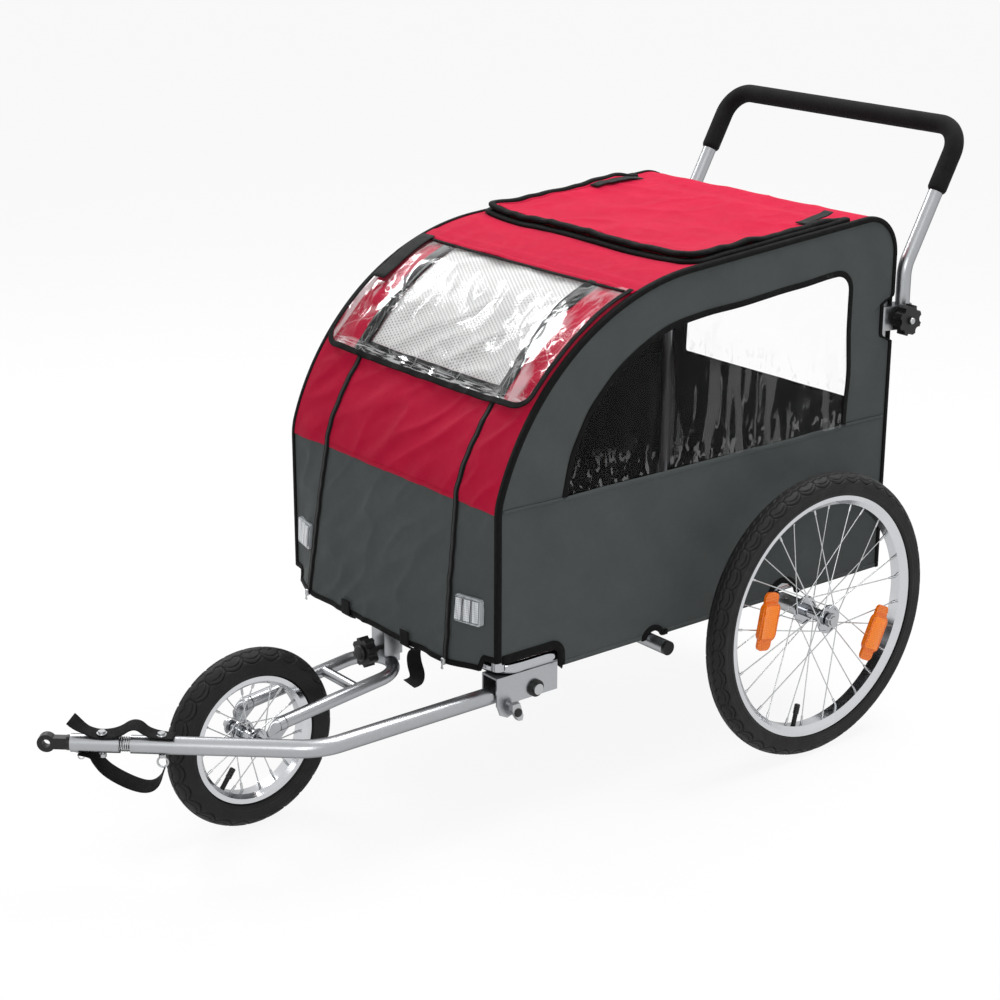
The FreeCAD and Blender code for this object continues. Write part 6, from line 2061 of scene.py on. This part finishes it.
@dataclass
class Hardware:
    """Small pieces: bolt ends in the knobs, fork ends, valve caps and the reflectors' lenses."""

    finish: Finishes
    front_lens: Triple = (0.0132, 0.037, 0.0030)
    spoke_lens: Triple = (0.030, 0.056, 0.0018)
    lens_ring: float = 0.140
    lens_turns: Pair = (11.0, 205.0)

    def build(self) -> None:
        """Builds and dresses the small pieces."""
        disc = [(0.0, 0.0030), (0.0042, 0.0030), (0.0052, 0.0024), (0.0058, 0.0012),
                (0.0058, -0.0010), (0.0, -0.0010)]
        for name, node, axis, wide, high, finish, body in (
                ("left_knob_bolt", "left_handle_knob", ACROSS, 1.0, 1.0, self.finish.zinc,
                 Body.LEFT_KNOB),
                ("right_knob_bolt", "right_handle_knob", -ACROSS, 1.0, 1.0, self.finish.zinc,
                 Body.RIGHT_KNOB),
                ("fork_knob_cap", "fork_knob", FORWARD, 2.3, 1.4, self.finish.plastic,
                 Body.FORK_CLAMP),
                ("lock_pin_tip", "tow_lock_pin", ACROSS, 1.25, 1.0, self.finish.plastic,
                 Body.LOCK_PIN)):
            low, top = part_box(node)
            face = (low + top) / 2 + axis * (abs((top - low).dot(axis)) / 2)
            piece = turned(name, [(r * wide, h * high) for r, h in disc], face, axis)
            settle(piece, finish, body)
        self._fork_ends()
        for wheel in WHEELS:
            wheel.cap_valve(self.finish)
        self._lenses()

    def _fork_ends(self) -> None:
        """The flattened ends of the fork's two legs."""
        slope = math.atan2(0.030, 0.248)
        way = Vector((math.cos(slope), 0.0, -math.sin(slope)))
        up = way.cross(ACROSS).normalized() * -1.0
        for side in Side:
            tip = on_axle(0.8835, side.value * 0.050, 0.182)
            path = [tip + way * d - RIGHT_UP * (0.010 * ease(d, 0.0, 0.022))
                    for d in spread(-0.012, 0.020, 14)]
            trim(f"{side.word}_fork_end", path, up, oval(0.0224, 0.0224, 22), self.finish.silver,
                 Body.FORK, lambda j: (1.0 - 0.70 * ease(j, 2, 10), 1.0 + 0.12 * ease(j, 2, 10)
                                       - 0.5 * ease(j, 10, 13)))

    def _lenses(self) -> None:
        """Raised prism strips on the front reflectors, and lenses on the spoke reflectors."""
        reach = 0.372 - SIZE.hem
        for side in Side:
            for i, shift in enumerate((-0.0155, 0.0, 0.0155)):
                y = side.value * (0.2284 + shift)
                across = (front_spot(y + 0.004, reach) - front_spot(y - 0.004, reach)).normalized()
                up = (front_spot(y, reach + 0.004) - front_spot(y, reach - 0.004)).normalized()
                out = across.cross(up).normalized()
                strip = bevelled_box(f"{side.word}_front_lens_{i + 1}", front_spot(y, reach, 0.0078),
                                     (across, up, out), self.front_lens, 0.0010)
                settle(strip, self.finish.lens)
        for side in Side:
            low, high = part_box(f"{side.word}_spoke_reflectors")
            face = high.y if side is Side.LEFT else low.y
            for i, turn in enumerate(self.lens_turns):
                a = math.radians(turn)
                out = Vector((math.cos(a), 0.0, math.sin(a)))
                round_way = Vector((-math.sin(a), 0.0, math.cos(a)))
                middle = on_axle(0.0, face, AXLE_Z) + out * self.lens_ring
                lens = bevelled_box(f"{side.word}_spoke_lens_{i + 1}", middle,
                                    (out, round_way, ACROSS), self.spoke_lens, 0.0009)
                settle(lens, self.finish.amber_lens, side.wheel)


WHEELS = [Wheel(side.word, side.wheel, on_axle(0.0, side.value * 0.364, AXLE_Z), 0.227, 0.023, 44,
                77.143, 0.160) for side in Side]
WHEELS.append(Wheel("front", Body.FRONT_WHEEL, on_axle(0.9055, 0.0, 0.149), 0.124, 0.025, 26,
                    54.0, 0.056))
NODE_FINISH: dict[str, tuple[str, ...]] = {
    "chrome": ("left_hub", "right_hub", "front_hub", "base_frame"),
    "spoke": ("left_spokes", "right_spokes", "front_spokes"),
    "alloy": ("left_rim", "right_rim", "front_rim"),
    "tyre": ("left_inner_tube", "right_inner_tube", "front_inner_tube"),
    "amber": ("left_spoke_reflectors", "right_spoke_reflectors"),
    "clear": ("front_reflectors",),
    "board": ("floor_panel",),
    "silver": ("side_hoops", "roof_bars", "cross_tubes", "handle_tube", "handle_clamps",
               "fork_sleeve", "fork_frame", "tow_bracket", "tow_tube", "hitch_tube"),
    "zinc": ("axle_receivers", "rear_axles", "left_release_button", "right_release_button",
             "front_axle", "tow_pivot_bolt", "tow_lock_pin", "hitch_spring", "rear_strap_bolt",
             "front_strap_bolt"),
    "plastic": ("cross_tube_plugs", "left_handle_knob", "right_handle_knob", "fork_knob",
                "tow_bush", "hitch_eye"),
}


def dress_solids(finish: Finishes) -> None:
    """Gives every solid that stays in view its finish.

    Args:
        finish: the trailer's finishes.
    """
    for word, nodes in NODE_FINISH.items():
        for node in nodes:
            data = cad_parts[node].data
            data.materials.clear()
            data.materials.append(getattr(finish, word))
            LOG.info("%s dressed as %s", node, word)


@dataclass
class Studio:
    """Camera, soft light and a pale floor."""

    eye: Triple = (2.1425, 2.723, 1.616)
    aim: Triple = (-0.0255, 0.0, 0.441)
    roll: float = 0.16
    lens: float = 78.43
    sky: float = 0.50

    def build(self) -> None:
        """Sets the camera, the lamps, the world and the floor."""
        camera = bpy.data.cameras.new("camera")
        camera.lens, camera.sensor_width = self.lens, 36.0
        holder = bpy.data.objects.new("camera", camera)
        holder.location = self.eye
        look = (Vector(self.aim) - Vector(self.eye)).to_track_quat("-Z", "Y")
        holder.rotation_euler = look.to_euler()
        holder.rotation_euler.rotate_axis("Z", math.radians(self.roll))
        bpy.context.scene.collection.objects.link(holder)
        bpy.context.scene.camera = holder
        bpy.context.scene.view_settings.view_transform = "Standard"
        self._lamp("overhead", (-1.3, 0.3, 3.0), 2.0, 83.0)
        self._lamp("far side", (0.15, -2.5, 2.7), 1.3, 46.0)
        self._lamp("near side", (2.4, 2.7, 2.0), 1.6, 30.0)
        self._world()
        self._floor()

    def _lamp(self, name: str, place: Triple, size: float, power: float) -> None:
        """Hangs one soft lamp that faces the trailer.

        Args:
            name: its name.
            place: where it hangs.
            size: its width.
            power: its watts.
        """
        lamp = bpy.data.lights.new(name, "AREA")
        lamp.shape, lamp.size, lamp.energy = "DISK", size, power
        holder = bpy.data.objects.new(name, lamp)
        holder.location = place
        holder.rotation_euler = (Vector((0.0, 0.0, 0.4)) - Vector(place)).to_track_quat(
            "-Z", "Y").to_euler()
        bpy.context.scene.collection.objects.link(holder)

    @staticmethod
    def _seen(bench: NodeBench) -> Socket:
        """1 where a ray comes from the camera, a mirror or clear film, or 0."""
        path = bench.add("LightPath").outputs
        both = bench.math("ADD", path["Is Camera Ray"], path["Is Glossy Ray"])
        return bench.math("MINIMUM", bench.math("ADD", both, path["Is Transmission Ray"]), 1.0)

    def _world(self) -> None:
        """A white surround that lights the trailer evenly."""
        world = bpy.data.worlds.new("studio")
        bpy.context.scene.world = world
        world.use_nodes = True
        bench = NodeBench(world.node_tree)
        strength = bench.math("MULTIPLY_ADD", self._seen(bench), 1.0 - self.sky, self.sky)
        glow = bench.add("Background", {"Color": (1.0, 1.0, 1.0, 1.0), "Strength": strength})
        bench.add("OutputWorld", {"Surface": glow.outputs[0]})

    def _floor(self) -> None:
        """A wide pale floor that keeps the trailer's shadow."""
        bm = bmesh.new()
        bmesh.ops.create_grid(bm, x_segments=1, y_segments=1, size=30.0)
        floor = link_mesh("floor", bm)
        made = bpy.data.materials.new("pale_floor")
        made.use_nodes = True
        bench = NodeBench(made.node_tree)
        matt = bench.add("BsdfDiffuse", {"Color": (0.86, 0.86, 0.86, 1.0)})
        glow = bench.add("Emission", {"Color": (1.0, 1.0, 1.0, 1.0), "Strength": 1.0})
        share = bench.math("MULTIPLY", self._seen(bench), 0.90)
        mix = bench.add("MixShader", {0: share, 1: matt.outputs[0], 2: glow.outputs[0]})
        bench.add("OutputMaterial", {"Surface": mix.outputs[0]})
        floor.data.materials.append(made)


def main() -> None:
    """Builds the trailer's dress piece by piece."""
    logging.basicConfig(level=logging.INFO, format="%(message)s")
    finish = Finishes()
    Studio().build()
    TowStraps(finish).build()
    dress_solids(finish)
    for side in Side:
        SideWall(side, finish).build()
    FrontWall(finish).build()
    Roof(finish).build()
    RearWall(finish).build()
    for wheel in WHEELS:
        wheel.build(finish)
    Handle(finish).build()
    Hardware(finish).build()


if __name__ == "__main__":
    main()
